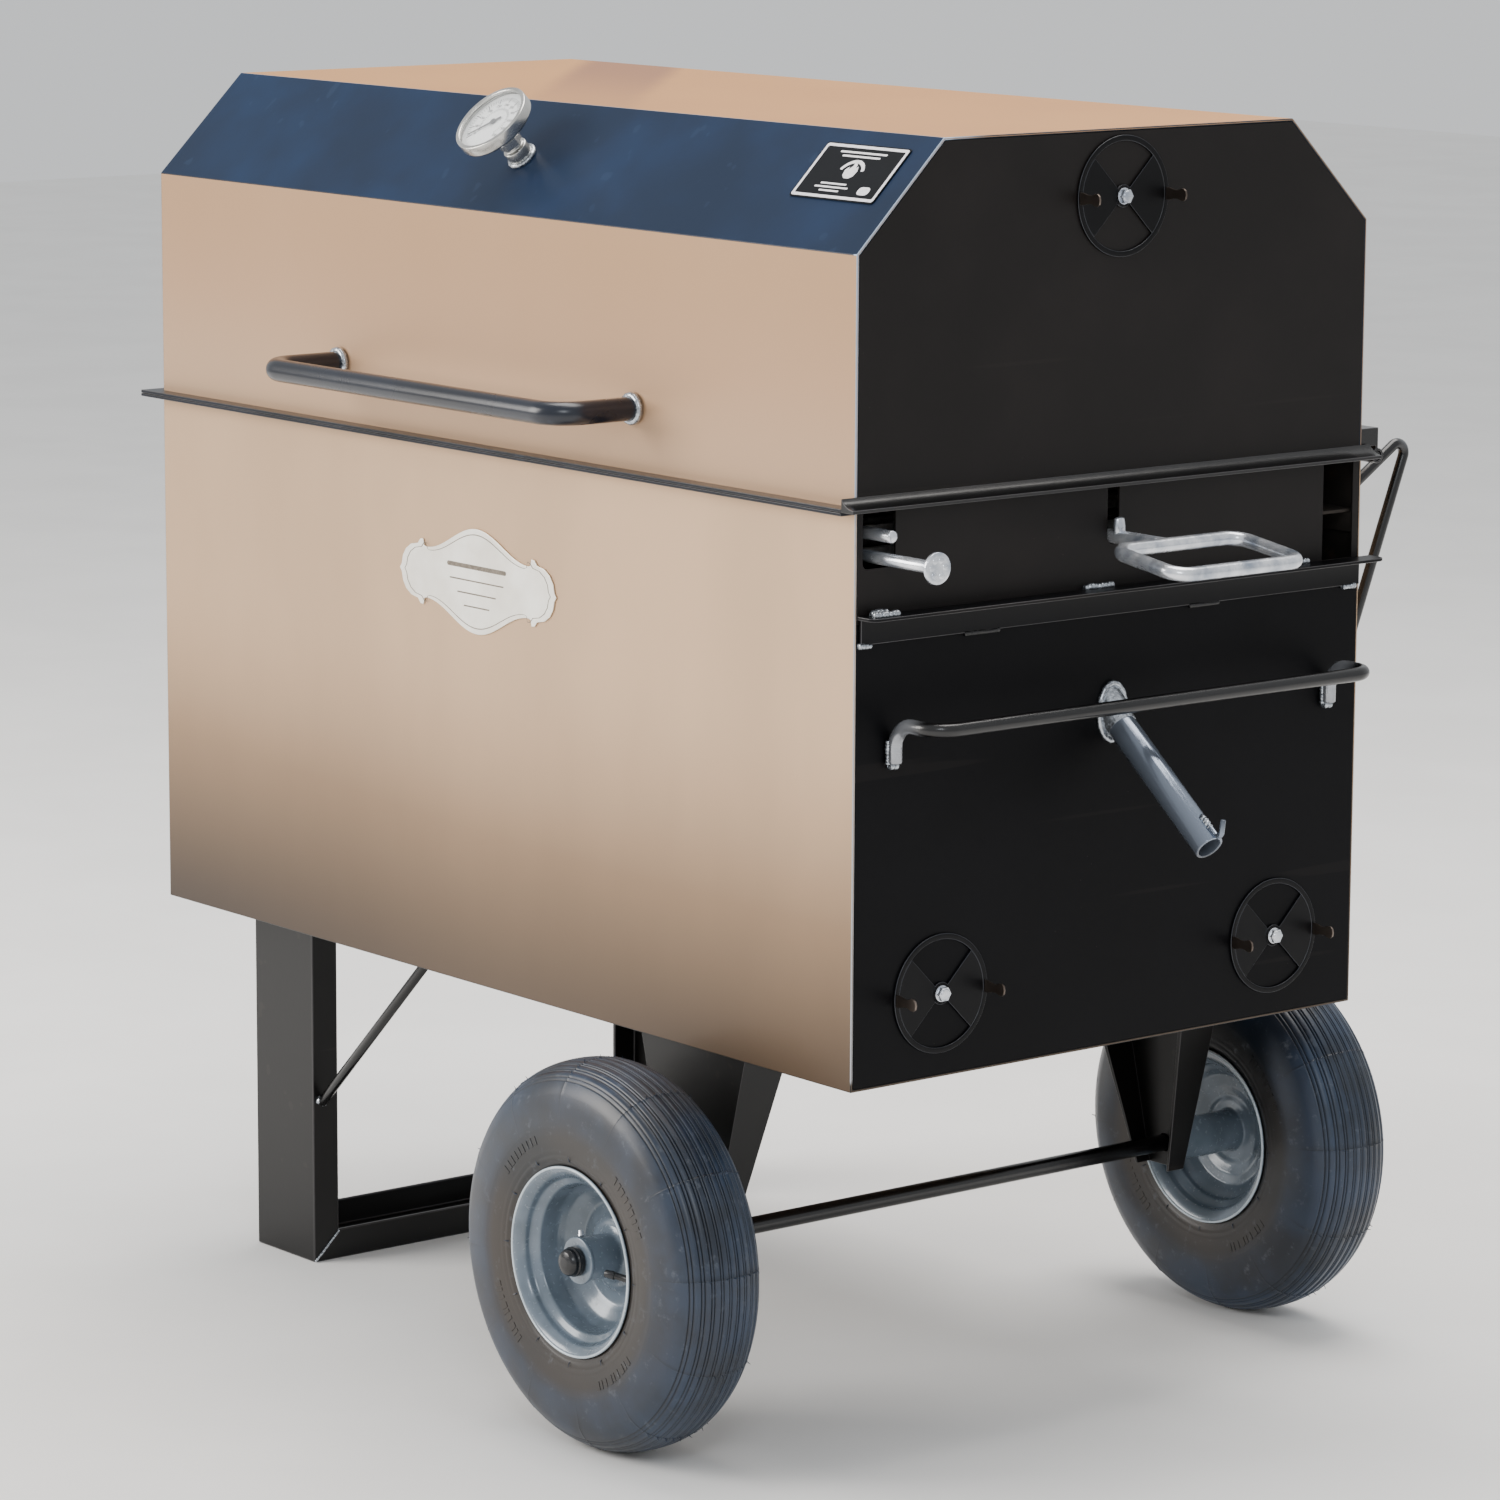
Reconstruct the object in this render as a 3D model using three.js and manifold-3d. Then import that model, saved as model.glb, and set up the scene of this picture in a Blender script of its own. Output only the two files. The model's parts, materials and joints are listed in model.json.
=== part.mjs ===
// A wheeled charcoal barbecue cooker: a sheet-steel box with a hinged, faceted lid, a pair of flip grates
// on a loop handle, three turning air dampers, a drip pan with a drain spout, two pneumatic wheels and a
// leg frame. Millimetres, +Z up, the length along X, the front towards -Y.
import * as THREE from "three";
import { mergeVertices } from "three/addons/utils/BufferGeometryUtils.js";
import Module from "manifold-3d";

const wasm = await Module();
wasm.setup();

// ---------------------------------------------------------------- driving dimensions
const GAP = 0.3; // left between pieces that touch or are welded together
const RUNNING_GAP = 0.8; // left round a shaft that turns or slides
const SHEET = 2.5; // wall of the body and the lid

const BODY = { length: 1067, depth: 598, height: 505 };
const GROUND_CLEARANCE = 355; // underside of the body above the ground
const LID = { wall: 217, slopeRun: 95, slopeRise: 94 };
const FLANGE = { out: 16, rearOut: 10, thick: 3 };
const LIP = { out: 16, height: 12 }; // rounded rim along the lid's right end

const LEDGE = { belowTop: 90, out: 22, down: 25, thick: 3, pastRear: 13, cornerRadius: 9 };
const BAND_BELOW_LEDGE = 7; // the slotted strip of the right end starts this far under the ledge's top
const SIDE_SLOT = { width: 36, cornerRadius: 5, underPin: 3 };
const HANDLE_SLOT = { clearance: 0.4, y: -4 };
const REAR_OPENING = { width: 37, fromRear: 10 };

const GRATE = { endInset: 33.5, sideInset: 37, bar: 8, rod: 6, rods: 22, belowTop: 42, spacing: 20 };
const GRATE_HANDLE = { radius: 6.35, belowTop: 46, reach: 68, loopX: 84, loopY: 147, loopShift: 12,
  bend: 17, tilt: 8, tip: 18, tipOut: 8 };
const PIN = { radius: 5.5, pastGrate: 10, reach: 74, head: 14, headThick: 4, stubReach: 19, eye: 4 };

const DAMPER = { radius: 53, thick: 2, rimWidth: 5, hubRadius: 10, sideInset: 100, z: 75, lidDrop: 59,
  tabLength: 28, tabWidth: 11, boltRadius: 4, headRadius: 7.5, headThick: 5, nutThick: 6,
  overlap: 2, overlapDegrees: 5 };

const PUSH_BAR = { radius: 6.35, belowLedge: 95, reach: 62, sideInset: 41, turnDown: 36, bend: 22 };
const SPOUT = { radius: 13.35, wall: 2.6, belowLedge: 112, y: -3, length: 165, drop: 38.5, inside: 8 };
const HOOK = { radius: 2.4, length: 26, past: 8, rise: 14, bend: 4 };
const PAN = { wall: 2, depth: 30, underSpout: 11, sideGap: 16, leftGap: 40, rightGap: 4 };
const RAIL = { width: 22, thick: 3 };
const COAL_GRATE = { z: 36, inset: 22, bar: 8, slats: 14, runner: 6, runnerInset: 60 };

const LID_HANDLE = { radius: 10.65, halfSpan: 227, reach: 85, above: 58, bend: 28,
  collar: 15, collarThick: 7 };
const GAUGE = { radius: 38, depth: 15, standOff: 38, stem: 4.5, probe: 70, wall: 2,
  bung: 12, bungHeight: 15, nut: 11.5, nutHeight: 11, upSlope: 0.49, needleRest: 130 };
const LABEL = { width: 112, height: 63, fromEnd: 82.5, upSlope: 0.64, thick: 0.8 };
const BADGE = { width: 250, height: 98, x: -8, belowTop: 125, thick: 1.5 };

const HINGE = { axisOut: 23, knuckle: 7, pin: 4, width: 25, strap: 3, leaf: 26, fromEnd: 2 };
const REST = { radius: 5, fromEnd: 38.5, topBelow: 49, bottomBelow: 242, apexOut: 102, bend: 9,
  clearance: 1 };

const LEG = { web: 100, flange: 30, thick: 4, fromLeft: 113.5, sideInset: 59 };
const BRACE = { radius: 5, below: 196, run: 196, inset: 9 };
const AXLE = { radius: 8, fromRight: 231.5 };
const BRACKET = { sideInset: 9, thick: 4, topWidth: 150, bottomWidth: 46, topDepth: 50, bottomDepth: 20,
  belowAxle: 22 };
const WHEEL = { fromBracket: 91, radius: 176.5, width: 98, wall: 8, rimRadius: 86, beadRadius: 76,
  rimHalfWidth: 47, hubRadius: 20, hubOut: 38, washer: 2 };
const CAP = { radius: 13.5, length: 15, wall: 3 };
const ROUND = 32; // sides of a wheel

// ---------------------------------------------------------------- places worked out from them
const halfLength = BODY.length / 2;
const halfDepth = BODY.depth / 2;
const lidBase = BODY.height + GAP;
const lidTop = lidBase + LID.wall + LID.slopeRise;
const axleZ = WHEEL.radius - GROUND_CLEARANCE;
const hinge = { y: halfDepth + HINGE.axisOut, z: BODY.height + GAP / 2 };
const endFace = halfLength + GAP; // where a piece welded to the right end starts
const slopeAngle = Math.atan2(LID.slopeRise, LID.slopeRun);
const ledgeTop = BODY.height - LEDGE.belowTop;
const bandBottom = ledgeTop - BAND_BELOW_LEDGE;
const grate = {
  halfLength: halfLength - GRATE.endInset,
  halfDepth: halfDepth - GRATE.sideInset,
  lowerZ: BODY.height - GRATE.belowTop,
  upperZ: BODY.height - GRATE.belowTop + GRATE.spacing,
};
const pinY = -(grate.halfDepth + PIN.pastGrate);
const handleZ = BODY.height - GRATE_HANDLE.belowTop;
const spoutZ = ledgeTop - SPOUT.belowLedge;
const panFloor = spoutZ - PAN.underSpout;
const damperY = halfDepth - DAMPER.sideInset;
const axleX = halfLength - AXLE.fromRight;
const bracketY = halfDepth - BRACKET.sideInset;
const wheelY = bracketY + WHEEL.fromBracket;
const rightReach = GRATE_HANDLE.reach + GRATE_HANDLE.radius
  + GRATE_HANDLE.loopX * Math.cos(THREE.MathUtils.degToRad(GRATE_HANDLE.tilt));
const leftReach = GAP + PUSH_BAR.reach + PUSH_BAR.radius;

// ---------------------------------------------------------------- finishes
const finish = (color, roughness, metalness) => ({ color, roughness, metalness });
const PANEL = finish(0xb9a48f, 0.42, 0.55);
const DARK = finish(0x1d1c1e, 0.5, 0.3);
const SATIN = finish(0x2c2b2d, 0.45, 0.35);
const ZINC = finish(0xb6bac0, 0.35, 0.9);
const STAINLESS = finish(0xc9c9c6, 0.3, 0.9);
const RIM_PAINT = finish(0x76879a, 0.35, 0.4);
const RUBBER = finish(0x2b2d31, 0.85, 0);
const WHITE = finish(0xf2f0ea, 0.6, 0);
const GLASS = finish(0xdfe8ec, 0.05, 0);
const RED = finish(0xb3261e, 0.5, 0);

// ---------------------------------------------------------------- shapes
const v3 = (x, y, z) => new THREE.Vector3(x, y, z);

// A closed geometry as a solid with its faces pointing out.
function solid(geometry) {
  const bare = geometry.clone();
  bare.deleteAttribute("normal");
  bare.deleteAttribute("uv");
  const merged = mergeVertices(bare, 1e-4);
  const vertProperties = new Float32Array(merged.attributes.position.array);
  const index = merged.index.array;
  const corner = [v3(0, 0, 0), v3(0, 0, 0), v3(0, 0, 0)];
  const kept = [];
  let volume = 0;
  for (let i = 0; i < index.length; i += 3) {
    const [a, b, c] = [index[i], index[i + 1], index[i + 2]];
    if (a === b || b === c || c === a) continue;
    [a, b, c].forEach((k, n) => corner[n].fromArray(vertProperties, 3 * k));
    volume += corner[0].dot(corner[1].cross(corner[2]));
    kept.push([a, b, c]);
  }
  const triVerts = new Uint32Array(kept.flatMap(([a, b, c]) => (volume < 0 ? [a, c, b] : [a, b, c])));
  return new wasm.Manifold(new wasm.Mesh({ numProp: 3, vertProperties, triVerts }));
}

function box(x0, x1, y0, y1, z0, z1) {
  const g = new THREE.BoxGeometry(x1 - x0, y1 - y0, z1 - z0);
  return solid(g.translate((x0 + x1) / 2, (y0 + y1) / 2, (z0 + z1) / 2));
}

// A flat outline pushed along an axis: (y, z) along x, (x, z) along y, or (x, y) along z.
const PLANES = {
  x: [v3(0, 1, 0), v3(0, 0, 1), v3(1, 0, 0)],
  y: [v3(1, 0, 0), v3(0, 0, 1), v3(0, 1, 0)],
  z: [v3(1, 0, 0), v3(0, 1, 0), v3(0, 0, 1)],
};
function prism(outline, axis, from, to, curveSegments = 12) {
  const g = new THREE.ExtrudeGeometry(outline, { depth: to - from, bevelEnabled: false, curveSegments });
  g.translate(0, 0, from);
  return solid(g.applyMatrix4(new THREE.Matrix4().makeBasis(...PLANES[axis])));
}

const polygon = (points) => new THREE.Shape(points.map(([a, b]) => new THREE.Vector2(a, b)));

function disc(radius, a = 0, b = 0) {
  const shape = new THREE.Shape();
  shape.absarc(a, b, radius, 0, 2 * Math.PI);
  return shape;
}

function roundedBox(a0, a1, b0, b1, r) {
  const shape = new THREE.Shape();
  shape.absarc(a1 - r, b1 - r, r, 0, Math.PI / 2);
  shape.absarc(a0 + r, b1 - r, r, Math.PI / 2, Math.PI);
  shape.absarc(a0 + r, b0 + r, r, Math.PI, 1.5 * Math.PI);
  shape.absarc(a1 - r, b0 + r, r, 1.5 * Math.PI, 2 * Math.PI);
  return shape;
}

// A profile of [radius, height] pairs turned about an axis; it closes on itself or on the axis.
function turned(profile, axis = "z", segments = ROUND) {
  const points = profile.map(([r, h]) => new THREE.Vector2(r, h));
  const g = new THREE.LatheGeometry(points, segments);
  if (axis === "x") g.rotateZ(-Math.PI / 2);
  if (axis === "z") g.rotateX(Math.PI / 2);
  return solid(g);
}

const cylinder = (radius, axis, at, from, to, sides = 20) => {
  const shifted = axis === "x" ? [0, at[0], at[1]] : axis === "y" ? [at[0], 0, at[1]] : [...at, 0];
  return prism(disc(radius), axis, from, to, sides / 2).translate(shifted);
};

// The centre line of a bent rod: straight runs between corners that are rounded to the bend radius.
// It is sampled at the ends of the straight runs and at even steps round each bend.
class BentLine extends THREE.Curve {
  constructor(corners, bend, steps = 4) {
    super();
    this.stops = [corners[0].clone()];
    for (let i = 1; i < corners.length - 1; i++) {
      const back = corners[i - 1].clone().sub(corners[i]).normalize();
      const on = corners[i + 1].clone().sub(corners[i]).normalize();
      const half = back.angleTo(on) / 2;
      const trim = bend / Math.tan(half);
      const centre = back.clone().add(on).normalize().multiplyScalar(bend / Math.sin(half));
      const from = back.clone().multiplyScalar(trim).sub(centre);
      const to = on.clone().multiplyScalar(trim).sub(centre);
      const turn = new THREE.Quaternion()
        .setFromUnitVectors(from.clone().normalize(), to.clone().normalize());
      for (let s = 0; s <= steps; s++) {
        const part = new THREE.Quaternion().slerp(turn, s / steps);
        this.stops.push(from.clone().applyQuaternion(part).add(centre).add(corners[i]));
      }
    }
    this.stops.push(corners[corners.length - 1].clone());
  }
  getPoint(t) {
    const place = Math.min(Math.max(t, 0), 1) * (this.stops.length - 1);
    const i = Math.min(Math.floor(place), this.stops.length - 2);
    return this.stops[i].clone().lerp(this.stops[i + 1], place - i);
  }
  getUtoTmapping(u) {
    return u;
  }
}

function rod(corners, radius, bend = 0, sides = 12) {
  const line = new BentLine(corners, bend);
  const options = { steps: line.stops.length - 1, bevelEnabled: false,
    extrudePath: line, curveSegments: sides / 2 };
  return solid(new THREE.ExtrudeGeometry(disc(radius), options));
}

// The same line moved sideways by d, with mitred corners.
function offset(points, d) {
  return points.map((p, i) => {
    const normals = [points[i - 1] && [points[i - 1], p], points[i + 1] && [p, points[i + 1]]]
      .filter(Boolean)
      .map(([a, b]) => new THREE.Vector2(-(b[1] - a[1]), b[0] - a[0]).normalize());
    const mid = normals.reduce((sum, n) => sum.add(n), new THREE.Vector2()).normalize();
    const scale = d / mid.dot(normals[normals.length - 1]);
    return [p[0] + mid.x * scale, p[1] + mid.y * scale];
  });
}
const sheetAlong = (points, thick) => polygon([...points, ...offset(points, thick).reverse()]);

const join = (first, ...rest) => rest.reduce((sum, s) => sum.add(s), first);
const cut = (first, ...rest) => rest.reduce((left, s) => left.subtract(s), first);

// ---------------------------------------------------------------- the assembly
const cooker = new THREE.Group();
cooker.position.set((leftReach - rightReach) / 2, 0, GROUND_CLEARANCE);

function piece(name, shape, look, parent = cooker) {
  const mesh = shape.getMesh();
  const g = new THREE.BufferGeometry();
  g.setAttribute("position", new THREE.BufferAttribute(new Float32Array(mesh.vertProperties), 3));
  g.setIndex(new THREE.BufferAttribute(new Uint32Array(mesh.triVerts), 1));
  g.computeVertexNormals();
  const made = new THREE.Mesh(g, new THREE.MeshStandardMaterial(look));
  made.name = name;
  parent.add(made);
  return made;
}

// ---------------------------------------------------------------- body
const inner = halfDepth - SHEET - GAP; // half width of a plate between the front and back walls

function sectorHole(y, z, middle, halfAngle, inside, outside) {
  const shape = new THREE.Shape();
  shape.absarc(y, z, outside, middle - halfAngle, middle + halfAngle);
  shape.absarc(y, z, inside, middle + halfAngle, middle - halfAngle, true);
  return shape;
}
const overlapAngle = THREE.MathUtils.degToRad(DAMPER.overlapDegrees);

// The two air holes behind a damper, which the closed disc overlaps all round, and its bolt's hole.
function damperHoles(y, z) {
  const hole = (middle) => prism(
    sectorHole(y, z, middle, Math.PI / 4 - overlapAngle, DAMPER.hubRadius + DAMPER.overlap,
      DAMPER.radius - DAMPER.rimWidth - DAMPER.overlap), "x", halfLength - 2 * SHEET, endFace, 6);
  const bolt = cylinder(DAMPER.boltRadius + RUNNING_GAP, "x", [y, z], halfLength - 2 * SHEET, endFace, 8);
  return [hole(0), hole(Math.PI), bolt];
}

function makeBody() {
  const wrapper = sheetAlong([[-halfDepth, BODY.height], [-halfDepth, 0], [halfDepth, 0],
    [halfDepth, BODY.height]], SHEET);
  piece("body_wrapper", prism(wrapper, "x", -halfLength, halfLength), PANEL);

  const left = box(-halfLength, -halfLength + SHEET, -inner, inner, SHEET + GAP, BODY.height);
  piece("left_end_plate", left, DARK);

  const spoutHole = spoutCylinder(SPOUT.radius + GAP, -40, 40);
  const right = cut(box(halfLength - SHEET, halfLength, -inner, inner, SHEET + GAP, bandBottom - GAP),
    ...damperHoles(-damperY, DAMPER.z), ...damperHoles(damperY, DAMPER.z), spoutHole);
  piece("right_end_plate", right, DARK);

  // The strip above it: open slots for the grate's rods and its handle, and an opening at the rear.
  const past = BODY.height + 10;
  const sideSlot = roundedBox(pinY - SIDE_SLOT.width / 2, pinY + SIDE_SLOT.width / 2,
    grate.lowerZ - PIN.radius - SIDE_SLOT.underPin, past, SIDE_SLOT.cornerRadius);
  const stemWay = GRATE_HANDLE.radius + HANDLE_SLOT.clearance;
  const handleSlot = roundedBox(HANDLE_SLOT.y - stemWay, HANDLE_SLOT.y + stemWay,
    handleZ - GRATE_HANDLE.radius - GAP, past, stemWay - 0.1);
  const openingEnd = halfDepth - REAR_OPENING.fromRear;
  const opening = polygon([[openingEnd - REAR_OPENING.width, ledgeTop], [openingEnd, ledgeTop],
    [openingEnd, past], [openingEnd - REAR_OPENING.width, past]]);
  const through = [halfLength - 2 * SHEET, halfLength + SHEET];
  const band = cut(box(halfLength - SHEET, halfLength, -inner, inner, bandBottom, BODY.height),
    ...[sideSlot, handleSlot, opening].map((s) => prism(s, "x", ...through, 6)));
  piece("right_slot_band", band, DARK);

  piece("body_top_flange", flangeRing(BODY.height - FLANGE.thick), SATIN);

  const ledgeEnd = halfDepth + LEDGE.pastRear;
  const shelf = prism(roundedBox(halfLength - 3 * LEDGE.cornerRadius, endFace + LEDGE.out,
    -halfDepth + SHEET, ledgeEnd, LEDGE.cornerRadius), "z", ledgeTop - LEDGE.thick, ledgeTop, 5);
  const ledge = join(
    shelf.subtract(box(0, endFace, -BODY.depth, BODY.depth, 0, BODY.height)),
    box(endFace, endFace + LEDGE.thick, -halfDepth + 2 * SHEET, halfDepth - SHEET, ledgeTop - LEDGE.down,
      ledgeTop - LEDGE.thick / 2));
  piece("right_ledge_angle", ledge, SATIN);
}

// A flat flange round the front, left and rear edges, standing out from the walls.
function flangeRing(z) {
  const right = halfLength;
  const outside = polygon([[right, -halfDepth - FLANGE.out], [right, halfDepth + FLANGE.rearOut],
    [-halfLength - FLANGE.out, halfDepth + FLANGE.rearOut],
    [-halfLength - FLANGE.out, -halfDepth - FLANGE.out]]);
  const block = prism(outside, "z", z, z + FLANGE.thick);
  return cut(block, box(-halfLength - GAP, right + 10, -halfDepth - GAP, halfDepth + GAP, z - 1, z + 10));
}

// ---------------------------------------------------------------- drain spout and drip pan
// A cylinder along the spout's axis, from one distance to another past the outside of the end plate.
function spoutCylinder(radius, from, to, sides = 20) {
  const c = prism(disc(radius), "x", from, to, sides / 2);
  return c.rotate([0, SPOUT.drop, 0]).translate([halfLength, SPOUT.y, spoutZ]);
}

function makeDrain() {
  const tube = spoutCylinder(SPOUT.radius, -SPOUT.inside, SPOUT.length)
    .subtract(spoutCylinder(SPOUT.radius - SPOUT.wall, -SPOUT.inside - 20, SPOUT.length + 20));
  // The bucket hook: a wire along the top of the spout's end, turned up past its mouth.
  const down = THREE.MathUtils.degToRad(SPOUT.drop);
  const along = v3(Math.cos(down), 0, -Math.sin(down));
  const up = v3(Math.sin(down), 0, Math.cos(down));
  const at = (a, u) => v3(halfLength, SPOUT.y, spoutZ).addScaledVector(along, a).addScaledVector(up, u);
  const outside = SPOUT.radius + HOOK.radius / 2;
  const hook = rod([at(SPOUT.length - HOOK.length, outside), at(SPOUT.length + HOOK.past / 2, outside),
    at(SPOUT.length + HOOK.past, outside + HOOK.rise)], HOOK.radius, HOOK.bend, 8);
  piece("drain_spout", tube.add(hook), SATIN);

  const y = halfDepth - SHEET - PAN.sideGap;
  const x0 = -halfLength + PAN.leftGap;
  const x1 = halfLength - SHEET - PAN.rightGap;
  const tray = box(x0, x1, -y, y, panFloor, panFloor + PAN.depth)
    .subtract(box(x0 + PAN.wall, x1 - PAN.wall, -y + PAN.wall, y - PAN.wall, panFloor + PAN.wall,
      panFloor + PAN.depth + 10));
  piece("drip_pan", tray.subtract(spoutCylinder(SPOUT.radius + GAP, -40, 10)), SATIN);

  const railZ = panFloor - GAP;
  for (const [name, side] of [["front", -1], ["rear", 1]]) {
    const wall = halfDepth - SHEET - GAP;
    const rail = polygon([[side * wall, railZ], [side * (wall - RAIL.width), railZ],
      [side * (wall - RAIL.width), railZ - RAIL.thick], [side * (wall - RAIL.thick), railZ - RAIL.thick],
      [side * (wall - RAIL.thick), railZ - RAIL.width], [side * wall, railZ - RAIL.width]]);
    piece("pan_rail_" + name, prism(rail, "x", x0, x1), SATIN);
  }
}

// ---------------------------------------------------------------- grates
const PIN_EYES = 50; // from the grate's end to the locking pin's inner eye
const REST_PAST_PIN = 6; // the front rest ends this far short of the locking pin
const pinEnd = grate.halfLength - PIN_EYES - PIN.eye;

function makeGrates() {
  // Charcoal grate: slats across two runners that stand on the floor of the body.
  const cx = halfLength - COAL_GRATE.inset;
  const cy = halfDepth - COAL_GRATE.inset;
  const floor = SHEET + GAP;
  const runnerY = cy - COAL_GRATE.runnerInset;
  const runners = [-runnerY, runnerY].map((y) => box(-cx, cx, y - COAL_GRATE.runner / 2,
    y + COAL_GRATE.runner / 2, floor, COAL_GRATE.z));
  const slats = [];
  for (let i = 0; i <= COAL_GRATE.slats; i++) {
    const x = -cx + COAL_GRATE.bar / 2 + (2 * cx - COAL_GRATE.bar) * (i / COAL_GRATE.slats);
    slats.push(box(x - COAL_GRATE.bar / 2, x + COAL_GRATE.bar / 2, -cy, cy, COAL_GRATE.z - 1,
      COAL_GRATE.z + COAL_GRATE.bar - 1));
  }
  piece("charcoal_grate", join(runners[0], ...slats, runners[1]), SATIN);

  // The grate rests: an angle along each long wall under the lower grate. The front one leaves the
  // locking pin its way.
  const restZ = grate.lowerZ - GRATE.bar / 2 - GAP;
  for (const [name, side] of [["front", -1], ["rear", 1]]) {
    const wall = halfDepth - SHEET - GAP;
    const edge = grate.halfDepth - GRATE.bar;
    const angle = polygon([[side * wall, restZ], [side * edge, restZ], [side * edge, restZ - RAIL.thick],
      [side * (wall - RAIL.thick), restZ - RAIL.thick], [side * (wall - RAIL.thick), restZ - RAIL.width],
      [side * wall, restZ - RAIL.width]]);
    const reach = halfLength - SHEET - PAN.rightGap;
    const end = side < 0 ? pinEnd - REST_PAST_PIN : reach;
    piece("grate_rest_" + name, prism(angle, "x", -reach, end), SATIN);
  }

  // Two flat grates, one above the other: a square-bar frame with rods across it.
  const frame = (z) => {
    const [a, b, h] = [grate.halfLength, grate.halfDepth, GRATE.bar / 2];
    const sides = [box(-a - h, a + h, -b - h, -b + h, z - h, z + h),
      box(-a - h, a + h, b - h, b + h, z - h, z + h),
      box(-a - h, -a + h, -b, b, z - h, z + h), box(a - h, a + h, -b, b, z - h, z + h)];
    const across = [];
    for (let i = 1; i < GRATE.rods; i++) {
      const x = -a + (2 * a * i) / GRATE.rods;
      across.push(box(x - GRATE.rod / 2, x + GRATE.rod / 2, -b, b, z - GRATE.rod / 2, z + GRATE.rod / 2));
    }
    return join(...sides, ...across);
  };
  // The lower one carries two eyes for the locking pin; the upper one a stub rod that rests in the slot.
  const { halfLength: gx, halfDepth: gy, lowerZ, upperZ } = grate;
  const eye = (x) => box(x, x + 8, pinY - PIN.radius - PIN.eye, -gy + 2, lowerZ - GRATE.bar / 2,
    lowerZ + PIN.radius + PIN.eye - 0.5);
  const pinHole = cylinder(PIN.radius + RUNNING_GAP, "x", [pinY, lowerZ], gx - 200, gx + 100, 12);
  const eyes = [gx - PIN_EYES, gx - 8].map(eye);
  piece("lower_grate", cut(join(frame(lowerZ), ...eyes), pinHole), STAINLESS);
  const stub = join(
    cylinder(PIN.radius, "x", [pinY, upperZ], gx - 8, halfLength + PIN.stubReach, 10),
    box(gx - 8, gx + GRATE.bar / 2, pinY, -gy, upperZ - GRATE.rod / 2, upperZ + GRATE.rod / 2));
  piece("upper_grate", frame(upperZ).add(stub), STAINLESS);

  // Locking pin: it slides out of the eyes by its round head.
  const headX = halfLength + PIN.reach;
  const pin = join(
    cylinder(PIN.radius, "x", [pinY, lowerZ], pinEnd, headX, 12),
    cylinder(PIN.head, "x", [pinY, lowerZ], headX, headX + PIN.headThick, 20));
  piece("grate_pin", pin, ZINC);

  // Loop handle: a stem out of the middle slot, an upturned tip and a flat loop that tilts down a little.
  const { radius, reach, loopX, loopY, loopShift, bend, tip, tipOut } = GRATE_HANDLE;
  const z = handleZ;
  const y = HANDLE_SLOT.y;
  const farX = halfLength + reach;
  const stem = cylinder(radius, "x", [y, z], gx + GRATE.bar / 2 + GAP, farX, 12);
  const point = cylinder(radius - 0.5, "z", [halfLength + tipOut, y], z, z + tip, 12);
  const half = loopY / 2;
  const overlap = 2;
  const cornersFar = [v3(loopX / 2 + overlap, -half, 0), v3(0, -half, 0), v3(0, half, 0),
    v3(loopX / 2 + overlap, half, 0)];
  const cornersNear = [v3(loopX / 2 - overlap, -half, 0), v3(loopX, -half, 0), v3(loopX, half, 0),
    v3(loopX / 2 - overlap, half, 0)];
  const loop = rod(cornersFar, radius, bend).add(rod(cornersNear, radius, bend))
    .rotate([0, GRATE_HANDLE.tilt, 0]).translate([farX, y + loopShift, z]);
  piece("grate_handle", join(stem, point, loop), ZINC);
}

// ---------------------------------------------------------------- lid
const lidLine = [[-halfDepth, lidBase], [-halfDepth, lidBase + LID.wall],
  [-halfDepth + LID.slopeRun, lidTop], [halfDepth - LID.slopeRun, lidTop],
  [halfDepth, lidBase + LID.wall], [halfDepth, lidBase]];

// A point on the front slope: a share of the way up it, and a height above it.
function slopePoint(share, above = 0) {
  const y = -halfDepth + LID.slopeRun * share - Math.sin(slopeAngle) * above;
  const z = lidBase + LID.wall + LID.slopeRise * share + Math.cos(slopeAngle) * above;
  return [y, z];
}

function makeLid() {
  const skin = prism(sheetAlong(lidLine, -SHEET), "x", -halfLength, halfLength);
  const [gaugeY, gaugeZ] = slopePoint(GAUGE.upSlope);
  const stemHole = prism(disc(GAUGE.stem + RUNNING_GAP), "z", -20, 20, 8)
    .rotate([THREE.MathUtils.radToDeg(slopeAngle), 0, 0]).translate([0, gaugeY, gaugeZ]);
  piece("lid_wrapper", skin.subtract(stemHole), PANEL);

  const plate = polygon(offset(lidLine, -SHEET - GAP).map(([y, z]) => [y, Math.max(z, lidBase)]));
  piece("lid_end_left", prism(plate, "x", -halfLength, -halfLength + SHEET), DARK);
  const right = prism(plate, "x", halfLength - SHEET, halfLength);
  piece("lid_end_right", cut(right, ...damperHoles(0, lidTop - DAMPER.lidDrop)), DARK);
  piece("lid_flange", flangeRing(lidBase), SATIN);

  const lip = new THREE.Shape();
  lip.moveTo(endFace, lidBase);
  lip.lineTo(endFace + LIP.out, lidBase);
  lip.lineTo(endFace + LIP.out, lidBase + FLANGE.thick);
  lip.quadraticCurveTo(endFace + LIP.out / 3, lidBase + FLANGE.thick + 1, endFace, lidBase + LIP.height);
  piece("lid_lip_right", prism(lip, "y", -halfDepth - FLANGE.out, halfDepth + FLANGE.rearOut, 5), SATIN);
}

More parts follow.
